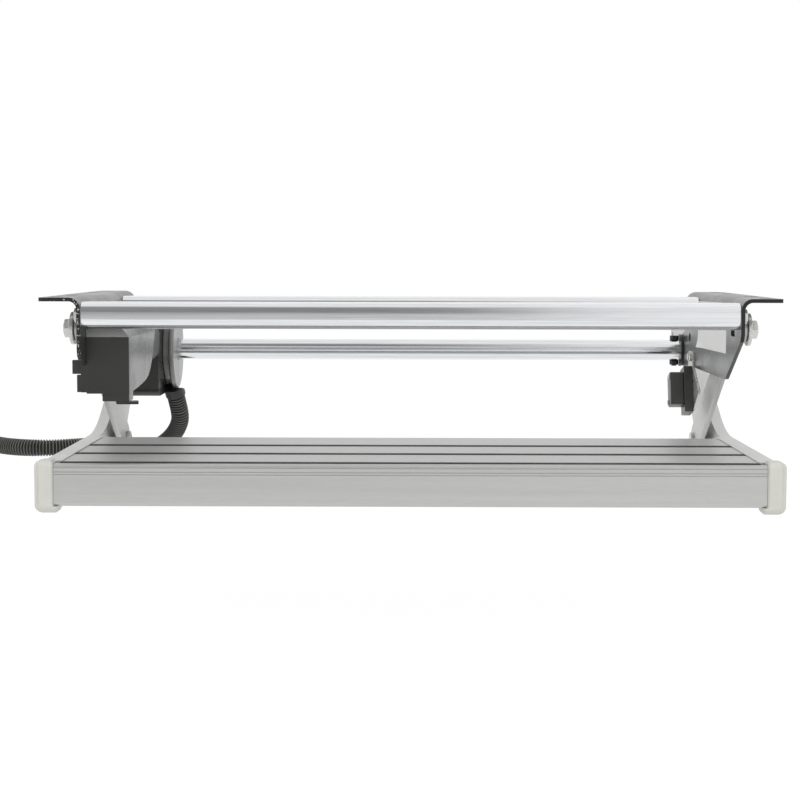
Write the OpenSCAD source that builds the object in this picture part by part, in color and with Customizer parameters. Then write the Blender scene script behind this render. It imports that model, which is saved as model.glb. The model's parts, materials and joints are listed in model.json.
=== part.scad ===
// Electric pull-out step for the door of a caravan or camper van.
// Two folded brackets bolt under the floor. A long lever at each side and a short crank
// on a motor-driven torque tube carry two arms, and the arms carry the tread.
// Build frame: x to the right, y back from the tread's front face, z up from the ground.
// place() then puts the origin under the middle of the step. All lengths are millimetres.

/* [Brackets] */
// Clear width between the two bracket plates
bracket_gap = 512; // [420:4:620]
// Thickness of the bracket sheet
plate_t = 3; // [2.5:0.5:4]
// Width of the mounting flange, from the plate's inner face
flange_w = 32.5; // [30:0.5:40]
// Outer radius of the fold between plate and flange
fold_r = 9; // [7:0.5:11]
// Height of the mounting flange above the ground
bracket_top = 166; // [160:1:180]
// Distance from the tread's front to the bracket's front edge
bracket_front = 18; // [8:1:24]
// Length of the mounting flange
flange_len = 267; // [255:1:280]
// Height of the right plate's straight front edge
front_edge_h = 31.5; // [28:0.5:36]
// Height of the left plate's straight front edge, beside the motor cover
left_front_edge_h = 47; // [40:0.5:50]
// Height of the plate from its lower edge to the flange
plate_h = 67; // [62:1:72]
// Length of the slope that runs from the front edge to the lower edge
front_slope_len = 65; // [40:1:70]
// Metal left round the shaft bush in the bracket's tongue
tongue_wall = 2.75; // [2.5:0.25:5]
// Distance that the tongue reaches behind the shaft
tongue_reach = 26; // [22:1:32]
// Radius of the flange's rear corner
flange_corner_r = 14; // [4:1:16]

/* [Mounting slots] */
// Width of a mounting slot, for an 8 mm bolt
slot_w = 9; // [6:0.5:10]
// Length of a mounting slot, end to end
slot_len = 12; // [11:0.5:16]
// Distance from the middle of a slot to the flange's edge
slot_edge = 9.5; // [8.5:0.5:11]
// Distance between the front and rear slots of the outer pair
slot_outer_pitch = 220; // [200:2:236]
// Distance between the front and rear slots of the inner pair
slot_inner_pitch = 104; // [60:2:150]
// Distance from the bracket's front edge to its first slot
slot_first = 22; // [16:1:26]

/* [Cross tubes] */
// Height of a cross tube
cross_h = 21; // [18:0.5:24]
// Depth of a cross tube, front to back
cross_d = 30; // [26:1:36]
// Wall of a cross tube
cross_wall = 2; // [1.5:0.25:3]
// Corner radius of a cross tube
cross_r = 8; // [4:0.5:9]
// Height from a cross tube's top to the flange's top
cross_drop = 3.5; // [3:0.5:6]
// Distance from the bracket's front edge to the front cross tube
front_cross_inset = 1.5; // [0:0.5:6]
// Distance between the two cross tubes
cross_pitch = 194; // [150:2:210]
// Radius of a cross tube's bolt
cross_bolt_r = 3; // [2.5:0.25:3.5]
// Distance between the two bolts in the end of a cross tube
cross_bolt_pitch = 14; // [11:0.5:17]
// Depth to which a cross tube's bolts reach in
cross_bolt_len = 22; // [10:1:40]

/* [Linkage] */
// Distance of the lever's fixed pivot behind the tread's front
lever_pivot_y = 110; // [100:1:120]
// Height from the lever's fixed pivot up to the flange's top
lever_pivot_drop = 27.5; // [24:0.5:32]
// Distance of the lever's lower pivot behind the tread's front
step_pivot_y = 284; // [276:1:290]
// Height of the lever's lower pivot
step_pivot_z = 28; // [25:0.5:32]
// Distance of the torque tube behind the tread's front
shaft_y = 311; // [305:1:318]
// Height from the torque tube's middle up to the flange's top
shaft_drop = 55.5; // [53:0.5:59]
// Distance of the crank pin's stroke line from the shaft
crank_offset = 45; // [40:1:50]
// Angle of the lever below the horizontal when the step is out
lever_out_angle = 90; // [80:1:92]
// Width of a lever
lever_w = 29; // [24:1:32]
// Thickness of a lever
lever_t = 5; // [4:0.5:7]
// Gap between bracket plate and lever
lever_gap = 5.5; // [4.5:0.5:7]
// Gap between lever and arm
arm_gap = 5.5; // [4:0.5:7]
// Radius of the lever's fixed pivot bolts
pivot_r = 5; // [4:0.5:6]
// Radius of the pins at the levers' lower ends and at the cranks
pin_r = 4; // [3.5:0.5:5]
// Wall of the pivot bushes
bush_wall = 2; // [1.5:0.25:3]
// Length of the hub that stands out of the lever's outer face
hub_len = 8; // [5:0.5:10]
// Wall of that hub round its bush
hub_wall = 3; // [2.5:0.5:5]
// Radius of the large washer under the pivot nut
big_washer_r = 13.5; // [11:0.5:15]
// Thickness of that washer
big_washer_t = 3; // [2:0.5:4]
// Size of the pivot nuts across their flats
nut_af = 15; // [13:0.5:17]
// Height of the pivot nuts
nut_h = 5.5; // [4.5:0.5:7]
// Size of the sunk nuts of the lower pins across their flats
pin_nut_af = 13; // [11:0.5:14]
// Height of the sunk nuts
pin_nut_h = 5; // [4:0.5:6]
// Thickness of a shaft bush's rim inside the bracket
washer_t = 2; // [1:0.5:3]

/* [Torque tube and cranks] */
// Radius of the torque tube
shaft_r = 9.75; // [8:0.25:11]
// Wall of the torque tube
shaft_wall = 2.5; // [2:0.25:3]
// Wall of the shaft bushes
shaft_bush_wall = 1.5; // [1:0.25:2]
// Width of a shaft bush's flange
shaft_bush_rim = 4; // [2:0.5:5]
// Metal round the torque tube in the crank's hub
crank_hub_wall = 6.25; // [4:0.25:8]
// Radius of the crank's outer end
crank_end_r = 12; // [10:0.5:13]
// Thickness of a crank
crank_t = 5; // [4:0.5:5]
// Radius of the bolt through the torque tube
shaft_bolt_r = 2.5; // [2:0.25:3.5]
// Gap between the bolt's head and the rim of the right bush
shaft_bolt_gap = 0.25; // [0.25:0.25:5]

/* [Tread] */
// Depth of the tread, front to back
tread_depth = 200; // [185:5:210]
// Height of the tread profile
tread_h = 33; // [30:0.5:36]
// Height of the tread's top above the ground
tread_top = 38.5; // [37:0.5:42]
// Wall of the tread profile
tread_wall = 2.5; // [2:0.25:3]
// Number of chambers in the tread profile
tread_chambers = 4; // [3:1:5]
// Radius of the tread profile's edges
tread_edge_r = 3; // [1:0.5:4]
// Width of a grip strip
strip_w = 8; // [5:0.5:12]
// Depth of a grip strip's groove
strip_depth = 1.5; // [1:0.25:1.75]
// Height that a grip strip stands above the tread
strip_proud = 0.5; // [0:0.25:1.5]
// Number of grip strips
strip_count = 3; // [2:1:3]
// Distance between grip strips
strip_pitch = 61; // [40:1:63]
// Distance from the tread's front to its first grip strip
strip_first = 10; // [8:0.5:14]

/* [Arms] */
// Thickness of an arm
arm_t = 10; // [9:0.5:14]
// Height of the front limb's lower edge above the ground
arm_low = 8; // [5:0.5:10]
// Radius of the curve between the front limb and the rear limb
arm_bend_r = 130; // [100:5:140]
// Radius of the rear limb's end
arm_end_r = 15; // [13:0.5:16]
// Slope of the rear limb's lower edge
arm_slope = 40.6; // [38:0.2:43]
// Length of the heel that stands on the ground
heel_len = 50; // [30:2:60]
// Radius of the screws that hold the arm to the tread
arm_screw_r = 3; // [2:0.25:3.5]
// Width of the arm's lip over the tread, and of the end cap's lip under it
lip_w = 4; // [2:0.5:8]
// Thickness of the arm's lip
lip_t = 1; // [0.75:0.25:1.5]
// Depth to which these screws reach into the tread
arm_screw_len = 20; // [10:1:30]

/* [End caps] */
// Wall of an end cap beside the arm
cap_wall = 5.5; // [3:0.25:7]
// Depth of an end cap, front to back
cap_depth = 16; // [14:1:30]
// Distance that the cap stands in front of the tread
cap_front = 2; // [1:0.5:4]
// Wall of an end cap over the arm
cap_top_wall = 1.75; // [1.25:0.25:4]
// Radius of the cap's outer corners
cap_r = 6; // [4:0.5:8]

/* [Drive unit] */
// Width of the gearbox housing, from the bracket plate
gearbox_w = 26; // [22:1:32]
// Length of the gearbox housing, front to back
gearbox_len = 98; // [92:1:106]
// Distance from the shaft to the gearbox's front face
gearbox_ahead = 59; // [50:1:64]
// Height from the gearbox's underside up to the flange's top
gearbox_drop = 96; // [94:1:102]
// Height of the gearbox
gearbox_h = 80; // [77:1:86]
// Clearance round the torque tube where it passes through the gearbox
gearbox_clear = 0.5; // [0.3:0.1:1.5]
// Radius of the round cover on the gearbox
disc_r = 37.5; // [36:0.5:38.5]
// Thickness of that cover's rim
disc_t = 4.5; // [3:0.5:7]
// Length of the neck between gearbox and cover rim
disc_neck = 6; // [4:0.5:10]
// Width of the motor can
motor_w = 27; // [22:1:30]
// Height of the motor can
motor_h = 38; // [32:1:39]
// Gap between the motor can and the rear cross tube
motor_gap = 2; // [1:0.5:3]
// Distance from the tread's front to the motor can's front end
motor_front = 120; // [110:2:140]

/* [Motor cover] */
// Width of the motor cover
cover_w = 34; // [32:1:40]
// Wall of the motor cover
cover_wall = 2.5; // [2:0.25:3]
// Distance from the tread's front to the cover's front face
cover_front = 40; // [34:1:50]
// Length of the cover along its top
cover_len = 140; // [132:1:150]
// Height of the cover's front
cover_h = 51.5; // [50:0.5:54]
// Gap between the cover and the front cross tube
cover_gap = 0.5; // [0.5:0.25:2]
// Height of the bevel along the cover's front
cover_bevel = 5.5; // [3:0.5:10]
// Rise of the cover's underside from front to rear
cover_belly = 8.5; // [6:0.5:10]
// Run of the slope that closes the cover's rear
cover_rear_run = 42; // [36:1:48]

/* [Limit switch] */
// Width of the switch base
switch_base_w = 8; // [6:0.5:10]
// Height of the switch base
switch_base_h = 42; // [36:1:46]
// Depth of the switch base
switch_base_d = 22; // [16:1:26]
// Width of the switch box
switch_box_w = 12; // [10:0.5:16]
// Height of the switch box
switch_box_h = 30; // [24:1:34]
// Thickness of the switch's mounting plate
switch_plate_t = 2; // [1.5:0.25:3]
// Distance from the tread's front to the switch base's upper corner
switch_y = 231; // [228:1:240]
// Angle by which the switch leans forward
switch_lean = 16; // [0:1:20]
// Reach of the plate's point ahead of the switch base
switch_point = 36; // [30:1:42]
// Fall of that point below the base's top
switch_point_fall = 21; // [16:1:26]

/* [Hose] */
// Outer diameter of the ribbed hose
hose_d = 17; // [14:0.5:18]
// Distance from the gearbox cover's rim down to the middle of the hose where it leaves
hose_exit_drop = 5.5; // [4:0.5:8]
// Bore of the ribbed hose
hose_bore = 12; // [9:0.5:13]
// Depth of the groove between two ribs
rib_depth = 1.3; // [0.5:0.1:1.6]
// Distance between two ribs
rib_pitch = 2.8; // [2.4:0.1:6]
// Radius of the coil's outer turn
coil_r = 110; // [104:1:120]
// Distance between two turns of the coil
coil_pitch = 18; // [17.6:0.2:20]
// Number of turns before the coil's end turns in
coil_turns = 1.5; // [1:0.25:2]

/* [Hidden] */

// Roundness of round features
$fn = 48;
// Clearance between parts that are fixed to each other
fit = 0.05;
// Radial clearance of a shaft that turns in its bush
run = 0.06;
// Side clearance between flat faces that turn against each other
slip = 0.2;
// Steps in a rounded corner of an outline
corner_steps = 8;
// Height of the low heads, and of the heads of the lower pins
low_head_h = 2;
pin_head_h = 3;
// Radius that a pin's head has beyond its shank
head_rim = 3;

// Side faces, from the middle of the step outwards
plate_x = bracket_gap / 2;
plate_out_x = plate_x + plate_t;
lever_x = plate_out_x + lever_gap;
lever_out_x = lever_x + lever_t;
arm_x = lever_out_x + arm_gap;
arm_out_x = arm_x + arm_t;
cap_out_x = arm_out_x + cap_wall;
hub_out_x = lever_out_x + hub_len;
crank_x = lever_out_x - crank_t;
tread_low = tread_top - tread_h;
arm_top = tread_top + lip_t;
cap_back = cap_depth - cap_front;
cap_h = arm_top + cap_top_wall;

// Pivots as [y, z] points, and the path of the step's parallel travel
shaft_z = bracket_top - shaft_drop;
lever_pivot = [lever_pivot_y, bracket_top - lever_pivot_drop];
step_pivot = [step_pivot_y, step_pivot_z];
shaft = [shaft_y, shaft_z];
lever_len = norm(step_pivot - lever_pivot);
travel = lever_pivot + lever_len * [cos(lever_out_angle), -sin(lever_out_angle)] - step_pivot;
travel_dir = travel / norm(travel);
crank_pin = shaft - travel / 2 + crank_offset * [-travel_dir[1], travel_dir[0]];
crank_len = norm(crank_pin - shaft);
lever_turn = lever_out_angle + atan2(step_pivot[1] - lever_pivot[1], step_pivot[0] - lever_pivot[0]);
crank_turn = 2 * asin(norm(travel) / 2 / crank_len);
bush_out_r = pivot_r + bush_wall;
pin_bush_r = pin_r + bush_wall;
shaft_bush_r = shaft_r + shaft_bush_wall;
hub_r = bush_out_r + hub_wall;
pin_collar_r = pin_bush_r + 1.5;

// The step's depth, and the shift that puts the origin under its middle
rear_y = crank_pin[0] + arm_end_r;
middle_y = (rear_y - cap_front) / 2;

black_steel = [0.13, 0.13, 0.14];
polished = [0.82, 0.83, 0.85];
satin = [0.72, 0.73, 0.74];
arm_grey = [0.76, 0.77, 0.77];
zinc = [0.66, 0.67, 0.66];
dark_plastic = [0.2, 0.2, 0.2];
grey_plastic = [0.45, 0.45, 0.45];
pale_plastic = [0.86, 0.85, 0.79];
hose_black = [0.09, 0.09, 0.1];

echo(lever_turn = lever_turn, crank_ratio = crank_turn / lever_turn);
echo(step_pivot = step_pivot, crank_pin = crank_pin, middle_y = middle_y, rear_y = rear_y);

// Puts a piece of the build frame into the part's own frame
module place() translate([0, -middle_y, 0]) children();

// The same piece on the left side
module left() mirror([1, 0, 0]) children();

// An outline drawn as [y, z], made thickness t from x outwards
module slab(x, t) translate([x, 0, 0]) rotate([90, 0, 90]) linear_extrude(t) children();

// An outline drawn as [x, z], made from y_from to y_to
module run_back(y_from, y_to)
    translate([0, y_to, 0]) rotate([90, 0, 0]) linear_extrude(y_to - y_from) children();

// A round bar along x, from x_from to x_to, about the point p = [y, z]
module rod(p, r, x_from, x_to)
    translate([x_from, p[0], p[1]]) rotate([0, 90, 0]) cylinder(r = r, h = x_to - x_from);

// A ring along x
module ring(p, r_out, r_in, x_from, x_to) difference() {
    rod(p, r_out, x_from, x_to);
    rod(p, r_in, x_from - 1, x_to + 1);
}

// A hexagon along x
module hex_bar(p, af, x_from, x_to) translate([x_from, p[0], p[1]]) rotate([0, 90, 0])
    cylinder(d = af / cos(30), h = x_to - x_from, $fn = 6);

function unit(v) = v / norm(v);

// The arc that rounds the corner b between its neighbours a and c
function corner(a, b, c, r) =
    let (u = unit(a - b), v = unit(c - b), half = acos(u * v) / 2,
        centre = b + unit(u + v) * r / sin(half),
        p = b + u * r / tan(half) - centre, q = b + v * r / tan(half) - centre,
        from = atan2(p[1], p[0]), raw = atan2(q[1], q[0]) - from,
        turn = raw > 180 ? raw - 360 : raw < -180 ? raw + 360 : raw)
    [for (i = [0:corner_steps]) centre
        + r * [cos(from + turn * i / corner_steps), sin(from + turn * i / corner_steps)]];

// An outline from its corners, each [x, y, radius of its rounding]
function rounded(c) = let (n = len(c), at = function (i) [c[i % n][0], c[i % n][1]])
    [for (i = [0:n - 1]) each c[i][2] > 0 ? corner(at(i + n - 1), at(i), at(i + 1), c[i][2])
        : [at(i)]];

// Corners of a rectangle, all rounded alike
function box_corners(x0, y0, x1, y1, r) = [[x0, y0, r], [x1, y0, r], [x1, y1, r], [x0, y1, r]];

// A flat bar with round ends about two pivots
module bar(p, q, w_p, w_q) {
    along = unit(q - p);
    across = [-along[1], along[0]];
    polygon([p + across * w_p / 2, p - across * w_p / 2, q - across * w_q / 2, q + across * w_q / 2]);
    translate(p) circle(d = w_p);
    translate(q) circle(d = w_q);
}

// Brackets

// Radius of the tongue, and the places along the bracket
tongue_r = shaft_bush_r + tongue_wall;
bracket_rear = bracket_front + flange_len;
plate_low = bracket_top - plate_h;
slot_x = plate_x + flange_w - slot_edge;
slot_front_y = bracket_front + slot_first;
slot_middle_y = slot_front_y + slot_outer_pitch / 2;
slot_rows = [slot_front_y, slot_middle_y - slot_inner_pitch / 2,
    slot_middle_y + slot_inner_pitch / 2, slot_front_y + slot_outer_pitch];

// Step in the lower edge ahead of the tongue, and the fall of its rear edge
tongue_step = 7;
tongue_run_in = 24;
rear_fall = 20;

// Cross tube middles as [y, z], and the bolts in a tube's end
cross_z = bracket_top - cross_drop - cross_h / 2;
cross_low = cross_z - cross_h / 2;
front_cross = [bracket_front + front_cross_inset + cross_d / 2, cross_z];
rear_cross = front_cross + [cross_pitch, 0];
cross_bolts = [for (c = [front_cross, rear_cross], s = [-1, 1]) c + [s * cross_bolt_pitch / 2, 0]];

// Spare holes in the plate: a round one near the rear and a short slot near the front
spare_hole_r = 4.25;
spare_hole_inset = 24;
spare_hole_drop = 41;
spare_hole = [bracket_rear - spare_hole_inset, bracket_top - spare_hole_drop];
spare_slot_r = 2.5;
spare_slot_len = 12;
spare_slot_inset = 34;
spare_slot_gap = 1;
spare_slot = [bracket_front + spare_slot_inset, cross_low - spare_slot_gap - spare_slot_r];

// Screws that hold the gearbox, in a row behind its front face
gearbox_front = shaft_y - gearbox_ahead;
gearbox_low = bracket_top - gearbox_drop;
gearbox_high = gearbox_low + gearbox_h;
drive_screw_r = 2.5;
drive_screw_pitch = 18;
drive_screw_inset = 7;
drive_screws = [for (i = [0:2])
    [gearbox_front + drive_screw_inset, gearbox_high - drive_screw_inset - drive_screw_pitch * i]];

echo(slot_x = slot_x, slot_middle_y = slot_middle_y - middle_y, slot_rows = slot_rows);

// Section of the folded sheet, as [x, z]
module sheet_section() {
    fold = [plate_x + fold_r, bracket_top - fold_r];
    translate([plate_x, 0]) square([plate_t, bracket_top - fold_r]);
    translate([plate_x + fold_r, bracket_top - plate_t]) square([flange_w - fold_r, plate_t]);
    intersection() {
        translate([plate_x, bracket_top - fold_r]) square(fold_r);
        difference() {
            translate(fold) circle(r = fold_r);
            translate(fold) circle(r = fold_r - plate_t);
        }
    }
}

// Outline of the bracket seen from the side, as [y, z], with a front edge of height edge_h
module bracket_outline(edge_h) polygon(rounded([
    [bracket_front, bracket_top, 0],
    [bracket_rear, bracket_top, 0],
    [bracket_rear + 3, shaft_z + rear_fall, 6],
    [shaft_y - 2, shaft_z + tongue_r, 8],
    [shaft_y + tongue_reach, shaft_z + tongue_r, tongue_r - 0.5],
    [shaft_y + tongue_reach, shaft_z - tongue_r, tongue_r - 0.5],
    [bracket_rear - tongue_run_in + tongue_step, shaft_z - tongue_r, 3],
    [bracket_rear - tongue_run_in, plate_low, 3],
    [bracket_front + front_slope_len, plate_low, 12],
    [bracket_front, bracket_top - edge_h, 10]]));

// Height of the left plate's slope at the place y
function left_slope_z(y) = bracket_top - left_front_edge_h
    - (plate_h - left_front_edge_h) * (y - bracket_front) / front_slope_len;

// Outline of the bracket seen from above, which rounds the flange's rear corner
module bracket_plan() polygon(rounded([
    [plate_x, bracket_front, 0],
    [plate_x + flange_w, bracket_front, 2],
    [plate_x + flange_w, bracket_rear, flange_corner_r],
    [plate_x + flange_w - flange_corner_r * 1.5, bracket_rear, 0],
    [plate_out_x + 1, shaft_y + tongue_reach, 0],
    [plate_x, shaft_y + tongue_reach, 0]]));

// A mounting slot down through the flange, running along x
module flange_slot(y) translate([slot_x, y, bracket_top - plate_t - 1]) {
    reach = (slot_len - slot_w) / 2;
    for (s = [-1, 1]) translate([s * reach, 0, 0]) cylinder(d = slot_w, h = plate_t + 2);
    translate([-reach, -slot_w / 2, 0]) cube([2 * reach, slot_w, plate_t + 2]);
}

module bracket(edge_h, plate_screws, plate_screw_r) difference() {
    intersection() {
        run_back(bracket_front, shaft_y + tongue_reach) sheet_section();
        slab(plate_x, flange_w) bracket_outline(edge_h);
        linear_extrude(bracket_top) bracket_plan();
    }
    for (y = slot_rows) flange_slot(y);
    rod(lever_pivot, pivot_r + fit, plate_x - 1, plate_out_x + 1);
    rod(shaft, shaft_bush_r + fit, plate_x - 1, plate_out_x + 1);
    rod(spare_hole, spare_hole_r, plate_x - 1, plate_out_x + 1);
    for (s = [-1, 1]) rod(spare_slot + [s * spare_slot_len / 2, 0], spare_slot_r,
        plate_x - 1, plate_out_x + 1);
    translate([plate_x - 1, spare_slot[0] - spare_slot_len / 2, spare_slot[1] - spare_slot_r])
        cube([plate_t + 2, spare_slot_len, 2 * spare_slot_r]);
    for (b = cross_bolts) rod(b, cross_bolt_r + fit, plate_x - 1, plate_out_x + 1);
    for (b = plate_screws) rod(b, plate_screw_r + fit, plate_x - 1, plate_out_x + 1);
}
module left_bracket() color(black_steel) place() left()
    bracket(left_front_edge_h, drive_screws, drive_screw_r);
module right_bracket() color(black_steel) place()
    bracket(front_edge_h, switch_screws_at, switch_screw_r);

// Cross tubes: closed profiles with two screw channels on webs

module cross_tube(at) translate([0, at[0], at[1]]) slab(-plate_x, bracket_gap) difference() {
    union() {
        difference() {
            polygon(rounded(box_corners(-cross_d / 2, -cross_h / 2, cross_d / 2, cross_h / 2, cross_r)));
            polygon(rounded(box_corners(-cross_d / 2 + cross_wall, -cross_h / 2 + cross_wall,
                cross_d / 2 - cross_wall, cross_h / 2 - cross_wall, cross_r - cross_wall)));
        }
        for (s = [-1, 1]) {
            translate([s * cross_bolt_pitch / 2, 0]) circle(r = cross_bolt_r + cross_wall);
            translate([s * cross_bolt_pitch / 2 - cross_wall / 2, -cross_h / 2 + cross_wall / 2])
                square([cross_wall, cross_h - cross_wall]);
        }
    }
    for (s = [-1, 1]) translate([s * cross_bolt_pitch / 2, 0]) circle(r = cross_bolt_r + fit);
}
module front_cross_tube() color(polished) place() cross_tube(front_cross);
module rear_cross_tube() color(polished) place() cross_tube(rear_cross);

module cross_tube_bolts() color(zinc) place() for (side = [0, 1], b = cross_bolts)
    mirror([side, 0, 0]) {
        rod(b, cross_bolt_r, plate_x - cross_bolt_len, plate_out_x);
        hex_bar(b, 2 * cross_bolt_r + 4, plate_out_x, plate_out_x + cross_bolt_r);
    }

// Lever pivots: a stud welded into each plate, with washers and a nut

nut_x = hub_out_x + slip + big_washer_t;
module lever_pivot_bolts() color(zinc) place() for (side = [0, 1]) mirror([side, 0, 0])
    rod(lever_pivot, pivot_r, plate_x, nut_x + nut_h + 1);
module lever_pivot_washers() color(zinc) place() for (side = [0, 1]) mirror([side, 0, 0]) {
    ring(lever_pivot, hub_r, pivot_r + fit, plate_out_x, lever_x - slip);
    ring(lever_pivot, big_washer_r, pivot_r + fit, hub_out_x + slip, nut_x);
}
module lever_pivot_nuts() color(zinc) place() for (side = [0, 1]) mirror([side, 0, 0])
    difference() {
        hex_bar(lever_pivot, nut_af, nut_x, nut_x + nut_h);
        rod(lever_pivot, pivot_r + fit, nut_x - 1, nut_x + nut_h + 1);
    }

// Flanged plastic bushes that carry the torque tube in the brackets

module shaft_bush(inner_rim) difference() {
    union() {
        rod(shaft, shaft_bush_r, plate_x, plate_out_x);
        rod(shaft, shaft_bush_r + shaft_bush_rim, plate_out_x, crank_x - slip);
        if (inner_rim) rod(shaft, shaft_bush_r + shaft_bush_rim, plate_x - washer_t, plate_x);
    }
    rod(shaft, shaft_r + run, plate_x - washer_t - 1, lever_x);
}
module left_shaft_bush() color(dark_plastic) place() left() shaft_bush(false);
module right_shaft_bush() color(dark_plastic) place() shaft_bush(true);

// Drive unit on the left bracket: gearbox, round end cover, motor can and motor cover

gearbox_x = plate_x - gearbox_w;
gearbox_rear = gearbox_front + gearbox_len;
disc_x = gearbox_x - disc_neck - disc_t;
module gearbox_housing() color(dark_plastic) place() left() difference() {
    slab(gearbox_x, gearbox_w)
        polygon(rounded(box_corners(gearbox_front, gearbox_low, gearbox_rear, gearbox_high, 7)));
    rod(shaft, shaft_r + gearbox_clear, gearbox_x - 1, plate_x + 1);
    for (b = drive_screws) rod(b, drive_screw_r + fit, plate_x - 14, plate_x + 1);
}

// The end cover is turned about the shaft: a neck, then a rim with a rounded edge
module gearbox_end_cover() color(grey_plastic) place() left()
    translate([disc_x, shaft[0], shaft[1]]) rotate([0, 90, 0]) rotate_extrude($fn = 72)
        polygon(rounded([
            [shaft_r + gearbox_clear, 0, 0.5],
            [disc_r, 0, disc_t / 2],
            [disc_r, disc_t, disc_t / 3],
            [disc_r - disc_t, disc_t, 1],
            [disc_r - disc_t, disc_t + disc_neck, 0],
            [shaft_r + gearbox_clear, disc_t + disc_neck, 0]]));

module gearbox_screws() color(zinc) place() left() for (b = drive_screws) {
    rod(b, drive_screw_r, plate_x - 12, plate_out_x);
    rod(b, drive_screw_r + 1.5, plate_out_x, plate_out_x + low_head_h);
}

motor_x = plate_x - motor_w / 2 - 0.5;
motor_z = cross_low - motor_gap - motor_h / 2;
module motor_section(grow) for (s = [0, 1])
    translate([motor_x, motor_z + (s - 0.5) * (motor_h - motor_w)]) {
        circle(d = motor_w + 2 * grow);
        if (s == 0) translate([-motor_w / 2 - grow, 0])
            square([motor_w + 2 * grow, motor_h - motor_w]);
    }
module motor_can() color(black_steel) place() left() run_back(motor_front, gearbox_front)
    motor_section(0);

// Outline of the cover, drawn in by w: flat top, bevelled front, and an underside that sweeps up
cover_x = plate_x - cover_w;
cover_high = cross_low - cover_gap;
cover_low = cover_high - cover_h;
cover_rear = cover_front + cover_len;
cover_sweep_r = 35;
function cover_corners(w) = [
    [cover_front + w, cover_low + w, 2],
    [cover_rear - cover_rear_run - w, cover_low + cover_belly + w, cover_sweep_r - w],
    [cover_rear - w, cover_high - w, 0],
    [cover_front + cover_bevel + w, cover_high - w, 0],
    [cover_front + w, cover_high - cover_bevel - w, 0]];

// The cover's front runs on under the plate's slope and ends in a strip outside the plate.
// Below it are a lip and its drain stub.
front_over = 1.5;
front_top = left_slope_z(cover_front + cover_wall) - 1;
strip_out = 4.5;
strip_h = 15;
cover_lip_w = 21.5;
cover_lip_d = 20;
cover_lip_h = 6;
drain_r = 1.6;
drain_len = 7;
drain_z = cover_low - cover_lip_h - drain_r / 2;
module motor_cover() color(dark_plastic) place() left() {
    difference() {
        slab(cover_x, cover_w) polygon(rounded(cover_corners(0)));
        slab(cover_x + cover_wall, cover_w) polygon(rounded(cover_corners(cover_wall)));
        run_back(motor_front, gearbox_front) motor_section(0.5);
    }
    run_back(cover_front, cover_front + cover_wall) polygon([
        [plate_x - 1, cover_low + 1], [plate_out_x + strip_out, cover_low + 1],
        [plate_out_x + strip_out, cover_low + strip_h], [plate_out_x + front_over, cover_low + strip_h],
        [plate_out_x + front_over, front_top], [plate_x - 1, front_top]]);
    translate([cover_x, cover_front, cover_low - cover_lip_h])
        cube([cover_lip_w, cover_lip_d, cover_lip_h + cover_wall]);
    rod([cover_front + drain_r, drain_z], drain_r, cover_x - drain_len, cover_x + cover_lip_w / 2);
}

// Spring clip behind the cover's front wall: it passes under the plate's slope and hooks up outside
clip_d = 5;
clip_in = 4;
clip_out = 8.5;
clip_low = cover_low + strip_h + 0.5;
clip_h = 11;
clip_shelf_top = left_slope_z(cover_front + cover_wall + clip_d) - 1;
module cover_clip() color(dark_plastic) place() left()
    run_back(cover_front + cover_wall, cover_front + cover_wall + clip_d) polygon([
        [plate_x - clip_in, clip_low], [plate_out_x + clip_out, clip_low],
        [plate_out_x + clip_out, clip_low + clip_h], [plate_out_x + front_over, clip_low + clip_h],
        [plate_out_x + front_over, clip_shelf_top], [plate_x - clip_in, clip_shelf_top]]);

// Limit switch under the right bracket: pointed plate, base, box and screws.
// The base and the box lean forward about the base's upper front corner.

switch_plate_x = plate_x - switch_plate_t;
switch_base_x = switch_plate_x - switch_base_w;
switch_box_x = switch_base_x - switch_box_w;
switch_top = plate_low + 2;
switch_tab_h = 12;
switch_tab_w = 25;
switch_screw_r = 2;
switch_screw_inset = 7;
switch_screw_pitch = 11;
switch_screws_at = [for (i = [0, 1])
    [switch_y + switch_screw_inset + switch_screw_pitch * i, switch_top + switch_screw_inset]];
box_inset = 2;
box_drop = 5;
box_d = switch_base_d - 2 * box_inset;
box_screw_r = 2.25;
box_screw_inset = 4;

// The place of a point that lies a behind and b above the upper corner before it leans
function leaned(a, b) = [switch_y + a * cos(switch_lean) + b * sin(switch_lean),
    switch_top - a * sin(switch_lean) + b * cos(switch_lean)];
function leaned_box(a0, b0, a1, b1, r) = [for (c = box_corners(a0, b0, a1, b1, r))
    let (p = leaned(c[0], c[1])) [p[0], p[1], r]];
module switch_plate() color(zinc) place() difference() {
    foot = leaned(0, -switch_base_h);
    heel = leaned(switch_base_d, -switch_base_h);
    slab(switch_plate_x, switch_plate_t) polygon(rounded([
        [switch_y - switch_point, switch_top - switch_point_fall, 2],
        [switch_y + 2, switch_top, 2],
        [switch_y + 2, switch_top + switch_tab_h, 2],
        [switch_y + switch_tab_w, switch_top + switch_tab_h, 3],
        [switch_y + switch_tab_w, switch_top, 3],
        [heel[0] + 2, heel[1] + 2, 3],
        [foot[0] + 2, foot[1] + 2, 3]]));
    for (b = switch_screws_at) rod(b, switch_screw_r + fit, switch_plate_x - 1, plate_x + 1);
}
module switch_base() color(black_steel) place() slab(switch_base_x, switch_base_w)
    polygon(rounded(leaned_box(0, -switch_base_h, switch_base_d, 0, 2)));
module switch_box() color(dark_plastic) place() slab(switch_box_x, switch_box_w)
    polygon(rounded(leaned_box(box_inset, -box_drop - switch_box_h, box_inset + box_d, -box_drop, 3)));
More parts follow.
